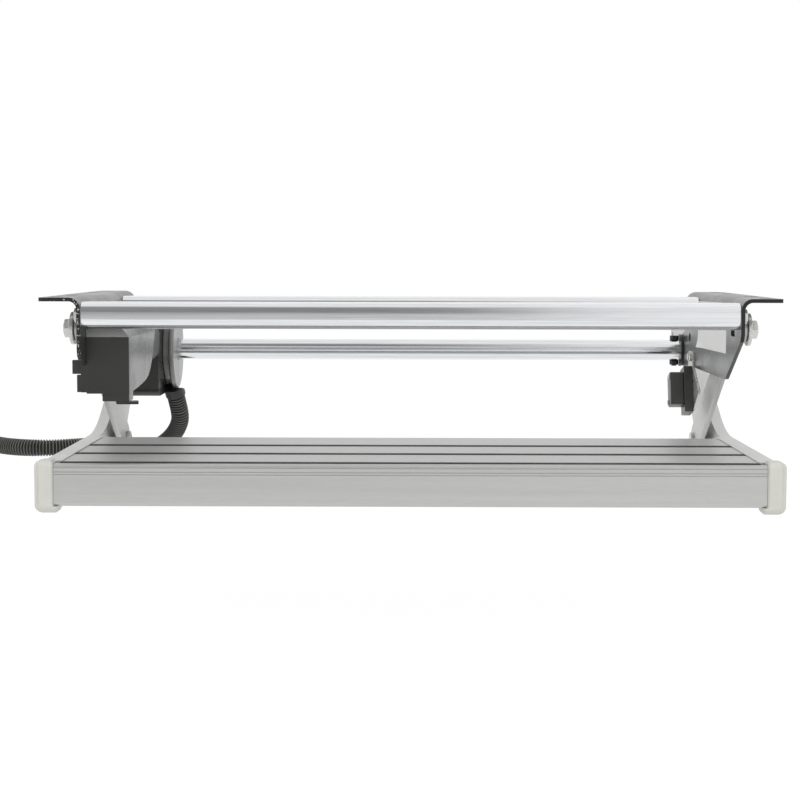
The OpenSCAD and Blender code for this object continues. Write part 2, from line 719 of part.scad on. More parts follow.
module switch_screws() color(zinc) place() {
    for (b = switch_screws_at) {
        rod(b, switch_screw_r, switch_plate_x, plate_out_x);
        rod(b, switch_screw_r + 1.5, switch_plate_x - low_head_h, switch_plate_x);
    }
    for (i = [0, 1]) rod(leaned(box_inset + box_screw_inset + i * (box_d - 2 * box_screw_inset),
        -box_drop - box_screw_inset - i * (switch_box_h - 2 * box_screw_inset)),
        box_screw_r, switch_box_x - 1.2, switch_box_x);
}

// Torque tube with its cranks, end plugs and cross bolt

shaft_bolt_head_r = shaft_bolt_r + 1.75;
shaft_bolt_head_h = 4;
shaft_bolt_x = plate_x - washer_t - shaft_bolt_gap - shaft_bolt_head_r;
module torque_tube() color(polished) place() difference() {
    ring(shaft, shaft_r, shaft_r - shaft_wall, -lever_out_x, lever_out_x);
    translate([shaft_bolt_x, shaft[0], shaft[1] - shaft_r - 1])
        cylinder(r = shaft_bolt_r + fit, h = 2 * shaft_r + 2);
}
module crank() difference() {
    slab(crank_x, crank_t)
        bar(shaft, crank_pin, 2 * (shaft_r + crank_hub_wall), 2 * crank_end_r);
    rod(shaft, shaft_r + fit, crank_x - 1, lever_out_x + 1);
    rod(crank_pin, pin_r + run, crank_x - 1, lever_out_x + 1);
}
module left_crank() color(satin) place() left() crank();
module right_crank() color(satin) place() crank();
module shaft_end_plugs() color(dark_plastic) place() for (side = [0, 1]) mirror([side, 0, 0]) {
    rod(shaft, shaft_r - shaft_wall - fit, lever_out_x - 8, lever_out_x);
    rod(shaft, shaft_r - 0.5, lever_out_x, lever_out_x + 1.5);
}
module shaft_bolt() color(black_steel) place() translate([shaft_bolt_x, shaft[0], shaft[1]]) {
    translate([0, 0, -shaft_r - shaft_bolt_head_h - 1])
        cylinder(r = shaft_bolt_r, h = 2 * shaft_r + shaft_bolt_head_h + 2);
    for (z = [shaft_r, -shaft_r - shaft_bolt_head_h])
        translate([0, 0, z]) cylinder(r = shaft_bolt_head_r, h = shaft_bolt_head_h, $fn = 6);
}

// Front levers, with a hub at the fixed pivot and plastic bushes at both

module lever() difference() {
    union() {
        slab(lever_x, lever_t) bar(lever_pivot, step_pivot, lever_w, lever_w);
        rod(lever_pivot, hub_r, lever_out_x, hub_out_x);
    }
    rod(lever_pivot, bush_out_r + fit, lever_x - 1, hub_out_x + 1);
    rod(step_pivot, pin_bush_r + fit, lever_x - 1, lever_out_x + 1);
}
module left_lever() color(arm_grey) place() left() lever();
module right_lever() color(arm_grey) place() lever();
module lever_bushes() color(dark_plastic) place() for (side = [0, 1]) mirror([side, 0, 0]) {
    ring(lever_pivot, bush_out_r, pivot_r + run, lever_x, hub_out_x);
    ring(step_pivot, pin_bush_r, pin_r + run, lever_x, lever_out_x);
}

// Tread: a hollow extrusion with webs, screw ports, strip grooves and fine lines in its face

port_y = [for (i = [1:tread_chambers - 1]) tread_depth * i / tread_chambers];
port_z = (tread_low + tread_top) / 2;
port_wall = 2.5;
line_depth = 0.8;
line_drops = [2.3, 5.7, 7.7];
module tread_section() difference() {
    polygon(rounded(box_corners(0, tread_low, tread_depth, tread_top, tread_edge_r)));
    difference() {
        polygon(rounded(box_corners(tread_wall, tread_low + tread_wall, tread_depth - tread_wall,
            tread_top - tread_wall, 1)));
        for (y = port_y) {
            translate([y - tread_wall / 2, tread_low]) square([tread_wall, tread_h]);
            translate([y, port_z]) circle(r = arm_screw_r + port_wall);
        }
    }
    for (y = port_y) translate([y, port_z]) circle(r = arm_screw_r + fit);
    for (i = [0:strip_count - 1])
        translate([strip_first + i * strip_pitch - strip_w / 2, tread_top - strip_depth])
            square([strip_w, strip_depth + 1]);
    for (d = line_drops) translate([-1, tread_top - d - line_depth]) square([1 + line_depth, line_depth]);
}
module tread() color(satin) place() slab(-arm_x, 2 * arm_x) tread_section();

strip_reach = arm_x - lip_w - fit;
module grip_strips() color(hose_black) place() slab(-strip_reach, 2 * strip_reach)
    for (i = [0:strip_count - 1]) translate([strip_first + i * strip_pitch, tread_top])
        polygon(rounded([[-strip_w / 2 + fit, -strip_depth, 0], [strip_w / 2 - fit, -strip_depth, 0],
            [strip_w / 2 - fit, strip_proud, 0.4], [-strip_w / 2 + fit, strip_proud, 0.4]]));

// Arms: a front limb beside the tread, a curve, and a rear limb that rises to the crank pin

arm_front = 2;
heel_r = 12;
// The lower pin's nut is sunk in the arm's outer face
pin_nut_x = arm_out_x - pin_nut_h - 0.5;
sunk_r = pin_nut_af / 2 / cos(30) + 0.3;
arm_rise = let (v = [tread_depth, arm_top + arm_bend_r] - crank_pin)
    asin((arm_bend_r + arm_end_r) / norm(v)) - atan2(v[1], -v[0]);
module arm_outline() {
    low_touch = crank_pin + arm_end_r * [sin(arm_slope), -cos(arm_slope)];
    heel_back = low_touch[0] - low_touch[1] / tan(arm_slope);
    polygon(rounded(concat(
        [[arm_front, arm_low, 3], [arm_front, arm_top, 6]],
        [for (i = [0:12]) let (t = arm_rise * i / 12)
            [tread_depth + arm_bend_r * sin(t), arm_top + arm_bend_r * (1 - cos(t)), 0]],
        [for (i = [0:12]) let (a = 90 + arm_rise - (180 + arm_rise - arm_slope) * i / 12)
            [crank_pin[0] + arm_end_r * cos(a), crank_pin[1] + arm_end_r * sin(a), 0]],
        [[heel_back, 0, heel_r],
            [heel_back - heel_len, 0, 4],
            [heel_back - heel_len - 20, arm_low, 10]])));
}
module arm() difference() {
    union() {
        slab(arm_x, arm_t) arm_outline();
        translate([arm_x - lip_w, cap_back, tread_top])
            cube([lip_w + arm_t / 2, tread_depth - cap_back, lip_t]);
    }
    for (y = port_y) rod([y, port_z], arm_screw_r + fit, arm_x - 1, arm_out_x + 1);
    rod(step_pivot, pin_r + fit, arm_x - 1, arm_out_x + 1);
    rod(step_pivot, sunk_r, pin_nut_x, arm_out_x + 1);
    rod(crank_pin, pin_r + fit, arm_x - 1, arm_out_x + 1);
}
module left_arm() color(arm_grey) place() left() arm();
module right_arm() color(arm_grey) place() arm();

module arm_screws() color(zinc) place() for (side = [0, 1], y = port_y) mirror([side, 0, 0]) {
    rod([y, port_z], arm_screw_r, arm_x - arm_screw_len, arm_out_x);
    rod([y, port_z], arm_screw_r + 2.5, arm_out_x, arm_out_x + low_head_h);
}

// End caps: a moulding over each arm's front end, with a lip under the tread

cap_in_x = arm_x - lip_w;
cap_low_r = 5;
module end_cap() difference() {
    intersection() {
        slab(cap_in_x, cap_out_x - cap_in_x)
            polygon(rounded([[-cap_front, 0, cap_low_r], [-cap_front, cap_h, cap_r],
                [cap_back, cap_h, 1], [cap_back, 0, 2]]));
        linear_extrude(cap_h) polygon(rounded([[cap_in_x, -cap_front, 1.5],
            [cap_out_x, -cap_front, cap_r], [cap_out_x, cap_back, 1], [cap_in_x, cap_back, 1]]));
        run_back(-cap_front, cap_back) polygon(rounded([[cap_in_x, 0, 0],
            [cap_out_x, 0, cap_low_r], [cap_out_x, cap_h, cap_r], [cap_in_x, cap_h, 0]]));
    }
    translate([cap_in_x - 1, -cap_front - 1, tread_low])
        cube([lip_w + 1, cap_depth + 2, cap_h]);
    translate([arm_x, arm_front - fit, arm_low - fit])
        cube([arm_t + fit, cap_depth, arm_top - arm_low + 2 * fit]);
}
module left_end_cap() color(pale_plastic) place() left() end_cap();
module right_end_cap() color(pale_plastic) place() end_cap();

// Pivots of the step: bolts with low heads, spacers and sunk nuts at the levers, pins at the
// cranks. A crank pin's collar ends just short of the crank, where the closed linkage is opened.

pin_gap = 0.3;
module low_head(p, x_from, x_to) rod(p, pin_r + head_rim, x_from, x_to);
module step_pivot_bolts() color(zinc) place() for (side = [0, 1]) mirror([side, 0, 0]) {
    rod(step_pivot, pin_r, lever_x - slip - pin_head_h, arm_out_x);
    low_head(step_pivot, lever_x - slip - pin_head_h, lever_x - slip);
}
module step_pivot_spacers() color(zinc) place() for (side = [0, 1]) mirror([side, 0, 0])
    ring(step_pivot, pin_collar_r, pin_r + fit, lever_out_x + slip, arm_x);
module step_pivot_nuts() color(zinc) place() for (side = [0, 1]) mirror([side, 0, 0])
    difference() {
        hex_bar(step_pivot, pin_nut_af, pin_nut_x, pin_nut_x + pin_nut_h);
        rod(step_pivot, pin_r + fit, pin_nut_x - 1, pin_nut_x + pin_nut_h + 1);
    }
module crank_pins() color(zinc) place() for (side = [0, 1]) mirror([side, 0, 0]) {
    rod(crank_pin, pin_r, lever_out_x + pin_gap, arm_out_x);
    rod(crank_pin, pin_collar_r, lever_out_x + pin_gap, arm_x);
    low_head(crank_pin, arm_out_x, arm_out_x + low_head_h);
}

// Ribbed hose: it leaves under the gearbox, comes down to the ground and runs out to the left.
// The route is in the build frame.

hose_fall = shaft[1] - disc_r - hose_exit_drop - hose_d / 2;
drawn_exit = [-222.5, 309, 67.5];
drawn_fall = 59;
// A drawn point, with its height above the hose's lie on the ground scaled to the real fall
function fallen(p) = [p[0], p[1], hose_d / 2 + (p[2] - hose_d / 2) * hose_fall / drawn_fall];
hose_route = [for (p = concat([drawn_exit, drawn_exit + hose_d * unit([1, 4, -7])], [
    [-220.5, 324.5, 43],
    [-223.5, 332, 35],
    [-228, 339.5, 28],
    [-234, 348, 21.5],
    [-240, 358, 16.5],
    [-246, 369, 12.5],
    [-253, 380, 9.5],
    [-261.5, 390, 8.5],
    [-272, 397.5, 8.5],
    [-284, 401.5, 8.5],
    [-297, 402, 8.5],
    [-309.5, 399.5, 8.5],
    [-321, 394, 8.5],
    [-332, 387, 8.5],
    [-343.5, 380.5, 8.5],
    [-356, 376, 8.5],
    [-369, 375, 8.5],
    [-382, 377.5, 8.5],
    [-393.5, 383, 8.5],
    [-404, 391, 8.5],
    [-413, 400.5, 8.5],
    [-421.5, 411, 8.5],
    [-430, 422, 8.5],
    [-442, 438, 8.5]])) fallen(p)];
hose_start = hose_route[0];
hose_out = unit(hose_route[1] - hose_start);
hose_end = hose_route[len(hose_route) - 1];
hose_heading = [-0.6, 0.8, 0];

// A point on the smooth curve through four neighbouring points, at the share t of the middle span
function spline(a, b, c, d, t) = b + 0.5 * t * (c - a + t * (2 * a - 5 * b + 4 * c - d
    + t * (3 * (b - c) + d - a)));
spans = len(hose_route) - 1;
span_steps = 8;
fine = [for (i = [0:spans - 1], k = [0:span_steps - 1]) let (p = hose_route,
        before = i == 0 ? 2 * p[0] - p[1] : p[i - 1],
        after = i == spans - 1 ? 2 * p[i + 1] - p[i] : p[i + 2])
    i == 0 || i == spans - 1 ? p[i] + (p[i + 1] - p[i]) * k / span_steps
        : spline(before, p[i], p[i + 1], after, k / span_steps), hose_end];
run_to = [for (i = 0, s = 0; i < len(fine);
    s = s + (i < len(fine) - 1 ? norm(fine[i + 1] - fine[i]) : 0), i = i + 1) s];
route_len = run_to[len(run_to) - 1];
function along(s) = [for (k = [0:2]) lookup(s, [for (i = [0:len(fine) - 1]) [run_to[i], fine[i][k]]])];

// A ring of points round p, square to the direction t
function ring_points(p, t, r, sides) = let (u = unit(cross(t, [0, 0, 1])), v = cross(u, t))
    [for (k = [0:sides - 1]) p + r * (cos(360 * (k + 0.5) / sides) * u + sin(360 * (k + 0.5) / sides) * v)];

// Triangles between the rings of a tube, from ring 0 to ring count - 1, numbered from first
function skin(first, count, sides) = [for (i = [0:count - 2], k = [0:sides - 1])
    let (a = first + i * sides + k, b = first + i * sides + (k + 1) % sides)
    each [[a, b, a + sides], [b, b + sides, a + sides]]];
function flip(faces) = [for (f = faces) [f[2], f[1], f[0]]];

rib_sides = 8;
ribs = floor(route_len / rib_pitch);
bore_step = 4;
bore_rings = floor(2 * ribs / bore_step) + 1;
function heading_at(s) = s < hose_d ? hose_out : s > route_len - hose_d ? hose_heading
    : unit(along(s + 1) - along(s - 1));
module ribbed_tube() {
    half = route_len / (2 * ribs);
    outer = [for (i = [0:2 * ribs]) let (s = half * i)
        each ring_points(along(s), heading_at(s), hose_d / 2 - (i % 2) * rib_depth, rib_sides)];
    inner = [for (i = [0:bore_rings - 1]) let (s = route_len * i / (bore_rings - 1))
        each ring_points(along(s), heading_at(s), hose_bore / 2, rib_sides)];
    n = len(outer);
    last = n - rib_sides;
    inner_last = n + len(inner) - rib_sides;
    ends = [for (k = [0:rib_sides - 1]) let (j = (k + 1) % rib_sides)
        each [[k, n + k, j], [j, n + k, n + j],
            [last + k, last + j, inner_last + k], [last + j, inner_last + j, inner_last + k]]];
    polyhedron(concat(outer, inner), concat(skin(0, 2 * ribs + 1, rib_sides),
        flip(skin(n, bore_rings, rib_sides)), ends));
}
module corrugated_hose() color(hose_black) place() ribbed_tube();

// Coil of the spare hose: a flat spiral inwards, then a short curve to the connector

coil_sides = 6;
coil_step = 15;
coil_start = hose_end + hose_d * hose_heading;
coil_in = [-hose_heading[1], hose_heading[0], 0];
coil_middle = coil_start + coil_r * coil_in;
coil_from = atan2(-coil_in[1], -coil_in[0]);
coil_inner_r = coil_r - coil_pitch * coil_turns;
tail_r = 62;
tail_turn = 90;
function round_point(c, r, a) = c + r * [cos(a), sin(a), 0];
tail_from = coil_from + 360 * coil_turns;
tail_middle = round_point(coil_middle, coil_inner_r - tail_r, tail_from);
tail_heading = [-sin(tail_from + tail_turn), cos(tail_from + tail_turn), 0];
coil_turned = [for (a = [0:coil_step:360 * coil_turns - coil_step / 2])
        round_point(coil_middle, coil_r - coil_pitch * a / 360, coil_from + a),
    for (a = [0:coil_step:tail_turn]) round_point(tail_middle, tail_r, tail_from + a)];
coil_path = concat([hose_end], coil_turned,
    [coil_turned[len(coil_turned) - 1] + hose_d * tail_heading]);
coil_end = coil_path[len(coil_path) - 1];
coil_len = [for (i = 0, s = 0; i < len(coil_path);
    s = s + (i < len(coil_path) - 1 ? norm(coil_path[i + 1] - coil_path[i]) : 0), i = i + 1) s];
loop_rings = 360 / coil_step;
coil_gap = min([for (i = [0:len(coil_path) - 1], j = [0:len(coil_path) - 1])
    if (j - i > loop_rings / 2) norm(coil_path[i] - coil_path[j]) - hose_d]);
echo(route_len = route_len, coil_len = coil_len[len(coil_len) - 1], ribs = ribs, coil_gap = coil_gap);
function coil_heading(i) = i == 0 || i == 1 ? hose_heading : i >= len(coil_path) - 2 ? tail_heading
    : unit(coil_path[i + 1] - coil_path[i - 1]);
module hose_coil() color(hose_black) place() {
    n = len(coil_path);
    rings = [for (i = [0:n - 1]) each ring_points(coil_path[i], coil_heading(i), hose_d / 2, coil_sides)];
    polyhedron(rings, concat(skin(0, n, coil_sides),
        [for (k = [1:coil_sides - 2]) [0, k + 1, k]],
        [for (k = [1:coil_sides - 2]) [(n - 1) * coil_sides, (n - 1) * coil_sides + k,
            (n - 1) * coil_sides + k + 1]]));
}

// Gland that holds the hose against the gearbox and its end cover
gland_len = 9;
gland_r = hose_d / 2 + 1;
module hose_gland() color(hose_black) place() difference() {
    translate(hose_start) multmatrix(aim(-hose_out)) cylinder(r = gland_r, h = gland_len);
    left() slab(gearbox_x - fit, gearbox_w) translate([gearbox_front, gearbox_low - fit])
        square([gearbox_len, gearbox_high]);
    left() rod(shaft, disc_r + fit, disc_x - 2 * gland_r, disc_x + disc_t + fit);
    left() rod(shaft, disc_r - disc_t + fit, disc_x, gearbox_x);
}

// Turns z to the direction d
function aim(d) = let (u = unit(cross([0, 0, 1], d)), v = cross(d, u))
    [[u[0], v[0], d[0], 0], [u[1], v[1], d[1], 0], [u[2], v[2], d[2], 0], [0, 0, 0, 1]];

// Four-way connector on the hose's end: sleeve, body with a latch, and open sockets
plug_sleeve = 8;
plug_body = [26, 18, 14];
socket_r = 1.6;
module connector_plug() color(dark_plastic) place()
    translate(coil_end) rotate([0, 0, atan2(tail_heading[1], tail_heading[0])]) difference() {
        union() {
            rotate([0, 90, 0]) cylinder(r = hose_d / 2 - 0.2, h = plug_sleeve + 1);
            translate([plug_sleeve, -plug_body[1] / 2, -plug_body[2] / 2]) cube(plug_body);
            translate([plug_sleeve + 6, -3, plug_body[2] / 2 - 0.5]) cube([14, 6, 2.5]);
        }
        for (a = [-1, 1], b = [-1, 1])
            translate([plug_sleeve + plug_body[0] - 9, a * 4, b * 3]) rotate([0, 90, 0])
                cylinder(r = socket_r, h = 10);
    }

left_bracket();
right_bracket();
front_cross_tube();
rear_cross_tube();
cross_tube_bolts();
lever_pivot_bolts();
lever_pivot_washers();
lever_pivot_nuts();
left_shaft_bush();
right_shaft_bush();
gearbox_housing();
gearbox_end_cover();
gearbox_screws();
motor_can();
motor_cover();
cover_clip();
switch_plate();
switch_base();
switch_box();
switch_screws();
hose_gland();
torque_tube();
left_crank();
right_crank();
shaft_end_plugs();
shaft_bolt();
left_lever();
right_lever();
lever_bushes();
tread();
grip_strips();
left_arm();
right_arm();
arm_screws();
left_end_cap();
right_end_cap();
step_pivot_bolts();
step_pivot_spacers();
step_pivot_nuts();
crank_pins();
corrugated_hose();
hose_coil();
connector_plug();
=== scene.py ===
import json
import math

import bmesh
import bpy
from mathutils import Euler, Matrix, Vector

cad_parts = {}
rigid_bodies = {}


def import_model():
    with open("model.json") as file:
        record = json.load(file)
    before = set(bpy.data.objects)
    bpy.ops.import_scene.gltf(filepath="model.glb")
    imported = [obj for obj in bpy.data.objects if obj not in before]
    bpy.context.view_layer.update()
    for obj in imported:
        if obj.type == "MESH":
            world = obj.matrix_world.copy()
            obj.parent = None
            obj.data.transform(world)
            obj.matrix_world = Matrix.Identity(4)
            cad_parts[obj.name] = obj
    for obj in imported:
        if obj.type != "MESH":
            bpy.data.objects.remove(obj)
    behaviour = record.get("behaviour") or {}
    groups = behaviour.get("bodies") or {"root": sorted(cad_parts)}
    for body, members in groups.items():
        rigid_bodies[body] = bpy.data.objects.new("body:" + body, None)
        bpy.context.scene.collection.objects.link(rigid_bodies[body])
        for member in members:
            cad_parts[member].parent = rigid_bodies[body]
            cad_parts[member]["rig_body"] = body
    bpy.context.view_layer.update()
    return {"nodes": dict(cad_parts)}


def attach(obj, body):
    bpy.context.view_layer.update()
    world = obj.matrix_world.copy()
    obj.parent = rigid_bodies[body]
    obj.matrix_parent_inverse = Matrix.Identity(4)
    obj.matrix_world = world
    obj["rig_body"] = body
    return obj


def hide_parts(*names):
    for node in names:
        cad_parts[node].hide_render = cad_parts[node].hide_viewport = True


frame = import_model()

# Camera.
# A long lens looks slightly down on the step from the front,
# as a seller photographs a product on a table.
photo_px = 800
focal_px = 1709.0
sensor_mm = 36.0
camera_at = Vector((0.0, -1.5218, 0.1986))
camera_down = math.radians(4.816)
camera_left = math.radians(0.342)
camera_roll = math.radians(0.12)

camera_data = bpy.data.cameras.new("camera")
camera_data.sensor_width = sensor_mm
camera_data.lens = sensor_mm * focal_px / photo_px


def placed(name, content):
    """A new object in the scene, at the origin, that holds a mesh, a lamp or a camera."""
    made = bpy.data.objects.new(name, content)
    bpy.context.scene.collection.objects.link(made)
    return made


camera = placed("camera", camera_data)
turned = Euler((math.pi / 2 - camera_down, 0.0, camera_left)).to_matrix()
camera.matrix_world = Matrix.LocRotScale(
    camera_at, (turned @ Matrix.Rotation(camera_roll, 3, "Z")).to_quaternion(), None)
bpy.context.scene.camera = camera

# Studio.
# A seamless white floor, as low as the step comes when it is out, under two wide soft lights.
# Polished metal mirrors a white room that is darker straight ahead of the step.
bpy.context.scene.view_settings.view_transform = "Standard"


def add_nodes(tree, kinds):
    """New nodes of a tree, by name."""
    made = {}
    for name, kind in kinds.items():
        made[name] = tree.nodes.new(kind)
        made[name].name = name
    return made


def math_node(tree, operation, a, b=None):
    """A math node of the tree; a number is set on its socket and anything else is linked."""
    made = tree.nodes.new("ShaderNodeMath")
    made.operation = operation
    for socket, value in zip(made.inputs, (a, b)):
        if value is None:
            continue
        if isinstance(value, (int, float)):
            socket.default_value = value
        else:
            tree.links.new(value, socket)
    return made.outputs[0]


def mapped(tree, value, low, high, to_low, to_high):
    """A value eased from one range to another and held at its ends."""
    made = tree.nodes.new("ShaderNodeMapRange")
    made.interpolation_type = "SMOOTHSTEP"
    tree.links.new(value, made.inputs["Value"])
    for name, number in (("From Min", low), ("From Max", high),
                         ("To Min", to_low), ("To Max", to_high)):
        made.inputs[name].default_value = number
    return made.outputs["Result"]


room_light = 0.62
room_ahead = 0.28
room_low = 0.75
room_white = 1.0
room_ease = {"low": (-0.15, 0.12), "right": (-0.02, 0.13), "aside": (0.3, 0.6),
             "back": (-0.05, 0.45), "above": (0.8, 1.0)}

world = bpy.data.worlds.new("studio")
bpy.context.scene.world = world
world.use_nodes = True
sky = world.node_tree
sky.nodes.clear()
part = add_nodes(sky, {"out": "ShaderNodeOutputWorld", "seen": "ShaderNodeBackground",
                       "light": "ShaderNodeBackground", "mirrored": "ShaderNodeBackground",
                       "pick": "ShaderNodeMixShader", "shine": "ShaderNodeMixShader",
                       "path": "ShaderNodeLightPath", "way": "ShaderNodeTexCoord",
                       "split": "ShaderNodeSeparateXYZ"})
for name in ("seen", "light", "mirrored"):
    part[name].inputs["Color"].default_value = (1.0, 1.0, 1.0, 1.0)
part["light"].inputs["Strength"].default_value = room_light
sky.links.new(part["way"].outputs["Generated"], part["split"].inputs["Vector"])
along = part["split"].outputs
aside = math_node(sky, "ABSOLUTE", along["X"])
pale = mapped(sky, along["Z"], *room_ease["low"], room_low, room_ahead)
for name, heading in (("right", along["X"]), ("aside", aside), ("back", along["Y"]),
                      ("above", along["Z"])):
    pale = math_node(sky, "MAXIMUM", pale,
                     mapped(sky, heading, *room_ease[name], 0.0, room_white))
sky.links.new(pale, part["mirrored"].inputs["Strength"])
sky.links.new(part["path"].outputs["Is Glossy Ray"], part["shine"].inputs["Fac"])
sky.links.new(part["light"].outputs[0], part["shine"].inputs[1])
sky.links.new(part["mirrored"].outputs[0], part["shine"].inputs[2])
sky.links.new(math_node(sky, "MAXIMUM", part["path"].outputs["Is Camera Ray"],
                        part["path"].outputs["Is Transmission Ray"]), part["pick"].inputs["Fac"])
sky.links.new(part["shine"].outputs[0], part["pick"].inputs[1])
sky.links.new(part["seen"].outputs[0], part["pick"].inputs[2])
sky.links.new(part["pick"].outputs[0], part["out"].inputs["Surface"])


def sun(name, towards, power, softness):
    """A soft far lamp that shines along a direction, and that metal doesn't mirror."""
    data = bpy.data.lights.new(name, "SUN")
    data.energy = power
    data.angle = math.radians(softness)
    lamp = placed(name, data)
    lamp.visible_glossy = False
    lamp.rotation_euler = Vector(towards).to_track_quat("-Z", "Y").to_euler()


sun("top_light", towards=(0.25, 0.35, -1.0), power=0.8, softness=60)
sun("front_light", towards=(-0.35, 1.0, -0.3), power=0.7, softness=50)

table_half = 4.0
table_front = -1.5
table_back = 8.0
floor_z = -0.1
floor_tone = 0.92
floor_glow = 1.04
floor_glow_share = 0.92
floor_mesh = bpy.data.meshes.new("floor")
floor_mesh.from_pydata([(-table_half, table_front, floor_z), (table_half, table_front, floor_z),
                        (table_half, table_back, floor_z), (-table_half, table_back, floor_z)],
                       [], [(0, 1, 2, 3)])
floor = placed("floor", floor_mesh)
floor_white = bpy.data.materials.new("floor_white")
floor_white.use_nodes = True
paper = floor_white.node_tree
paper.nodes.clear()
part = add_nodes(paper, {"out": "ShaderNodeOutputMaterial", "matt": "ShaderNodeBsdfDiffuse",
                         "glow": "ShaderNodeEmission", "path": "ShaderNodeLightPath",
                         "mix": "ShaderNodeMixShader"})
part["matt"].inputs["Color"].default_value = (floor_tone, floor_tone, floor_tone, 1.0)
part["glow"].inputs["Strength"].default_value = floor_glow
glows = math_node(paper, "MAXIMUM", part["path"].outputs["Is Camera Ray"],
                  part["path"].outputs["Is Glossy Ray"])
paper.links.new(math_node(paper, "MULTIPLY", glows, floor_glow_share), part["mix"].inputs["Fac"])
paper.links.new(part["matt"].outputs[0], part["mix"].inputs[1])
paper.links.new(part["glow"].outputs[0], part["mix"].inputs[2])
paper.links.new(part["mix"].outputs[0], part["out"].inputs["Surface"])
floor_mesh.materials.append(floor_white)

# Corrugated hose.
# Black polyamide conduit that guards the motor's leads, blown in one length with rounded ribs.
# It drops from the gearbox, runs out to the left on the floor, and its spare length is coiled.
hose_d = 0.017
rib_depth = 0.0015
rib_pitch = 0.0028
rings_per_rib = 8
rib_fullness = 1.3
hose_sides = 20
row_shift = -0.216336
hose_start = Vector((-0.2225, 0.309, 0.0675))
hose_out = Vector((1, 4, -7)).normalized()
hose_heading = Vector((-0.6, 0.8, 0.0))
hose_route = [hose_start, hose_start + hose_d * hose_out] + [Vector(p) for p in [
    (-0.2205, 0.3245, 0.043),
    (-0.2235, 0.332, 0.035),
    (-0.228, 0.3395, 0.028),
    (-0.234, 0.348, 0.0215),
    (-0.240, 0.358, 0.0165),
    (-0.246, 0.369, 0.0125),
    (-0.253, 0.380, 0.0095),
    (-0.2615, 0.390, 0.0085),
    (-0.272, 0.3975, 0.0085),
    (-0.284, 0.4015, 0.0085),
    (-0.297, 0.402, 0.0085),
    (-0.3095, 0.3995, 0.0085),
    (-0.321, 0.394, 0.0085),
    (-0.332, 0.387, 0.0085),
    (-0.3435, 0.3805, 0.0085),
    (-0.356, 0.376, 0.0085),
    (-0.369, 0.375, 0.0085),
    (-0.382, 0.3775, 0.0085),
    (-0.3935, 0.383, 0.0085),
    (-0.404, 0.391, 0.0085),
    (-0.413, 0.4005, 0.0085),
    (-0.4215, 0.411, 0.0085),
    (-0.430, 0.422, 0.0085),
    (-0.442, 0.438, 0.0085)]]
span_steps = 24


def smooth_route(points, steps):
    """A smooth curve through the points, straight along its first and last spans."""
    ahead = [2 * points[0] - points[1]] + points + [2 * points[-1] - points[-2]]
    line = []
    for i in range(len(points) - 1):
        a, b, c, d = ahead[i:i + 4]
        straight = i in (0, len(points) - 2)
        for k in range(steps):
            t = k / steps
            cubic = 3 * (b - c) + d - a
            bent = b + 0.5 * t * (c - a + t * (2 * a - 5 * b + 4 * c - d + t * cubic))
            line.append(b.lerp(c, t) if straight else bent)
    return line + [points[-1]]


coil_r = 0.110
coil_pitch = 0.018
coil_turns = 1.5
tail_r = 0.062
tail_turn = math.pi / 2
coil_step = math.radians(2)
coil_start = hose_route[-1] + hose_d * hose_heading
coil_in = Vector((-hose_heading.y, hose_heading.x, 0.0))
coil_middle = coil_start + coil_r * coil_in
coil_from = math.atan2(-coil_in.y, -coil_in.x)


def round_point(centre, radius, angle):
    """A point on a level circle."""
    return centre + radius * Vector((math.cos(angle), math.sin(angle), 0.0))


whole_turn = 2 * math.pi * coil_turns
step_in = coil_pitch * coil_step / (2 * math.pi)
coil = [round_point(coil_middle, coil_r - step_in * k, coil_from + k * coil_step)
        for k in range(round(whole_turn / coil_step))]
tail_from = coil_from + whole_turn
tail_middle = round_point(coil_middle, coil_r - coil_pitch * coil_turns - tail_r, tail_from)
coil += [round_point(tail_middle, tail_r, tail_from + k * coil_step)
         for k in range(round(tail_turn / coil_step) + 1)]
tail_heading = Vector((-math.sin(tail_from + tail_turn), math.cos(tail_from + tail_turn), 0.0))
coil.append(coil[-1] + hose_d * tail_heading)
hose_line = [p + Vector((0, row_shift, 0)) for p in smooth_route(hose_route, span_steps) + coil]


def evenly(points, count):
    """Points at even distances along a line of points, the ends included."""
    run = [0.0]
    for a, b in zip(points, points[1:]):
        run.append(run[-1] + (b - a).length)
    made, k = [], 0
    for i in range(count):
        s = run[-1] * i / (count - 1)
        while k < len(run) - 2 and run[k + 1] < s:
            k += 1
        made.append(points[k].lerp(points[k + 1], (s - run[k]) / (run[k + 1] - run[k])))
    return made


hose_len = sum((b - a).length for a, b in zip(hose_line, hose_line[1:]))
hose_rings = evenly(hose_line, round(hose_len / rib_pitch) * rings_per_rib + 1)


def tree_socket(tree, name, kind, value=None):
    """Adds a named input to a Geometry Nodes tree."""
    made = tree.interface.new_socket(name=name, in_out="INPUT", socket_type=kind)
    if value is not None:
        made.default_value = value


def settled(start, name):
    """A plain new object with the mesh that an object's modifiers make; the object itself goes."""
    bpy.context.view_layer.update()
    seen = start.evaluated_get(bpy.context.evaluated_depsgraph_get())
    mesh = bpy.data.meshes.new_from_object(seen)
    mesh.name = name
    bpy.data.objects.remove(start)
    return placed(name, mesh)


def grown(start, tree, values, name):
    """The mesh that a Geometry Nodes tree makes of a start object, as a plain new object."""
    modifier = start.modifiers.new("grow", "NODES")
    modifier.node_group = tree
    for item in tree.interface.items_tree:
        if item.item_type == "SOCKET" and item.in_out == "INPUT" and item.name in values:
            modifier[item.identifier] = values[item.name]
    return settled(start, name)


def line_object(points):
    """A chain of edges through the points, for a tree to turn into a curve."""
    mesh = bpy.data.meshes.new("line")
    mesh.from_pydata(points, [(i, i + 1) for i in range(len(points) - 1)], [])
    return placed("line", mesh)


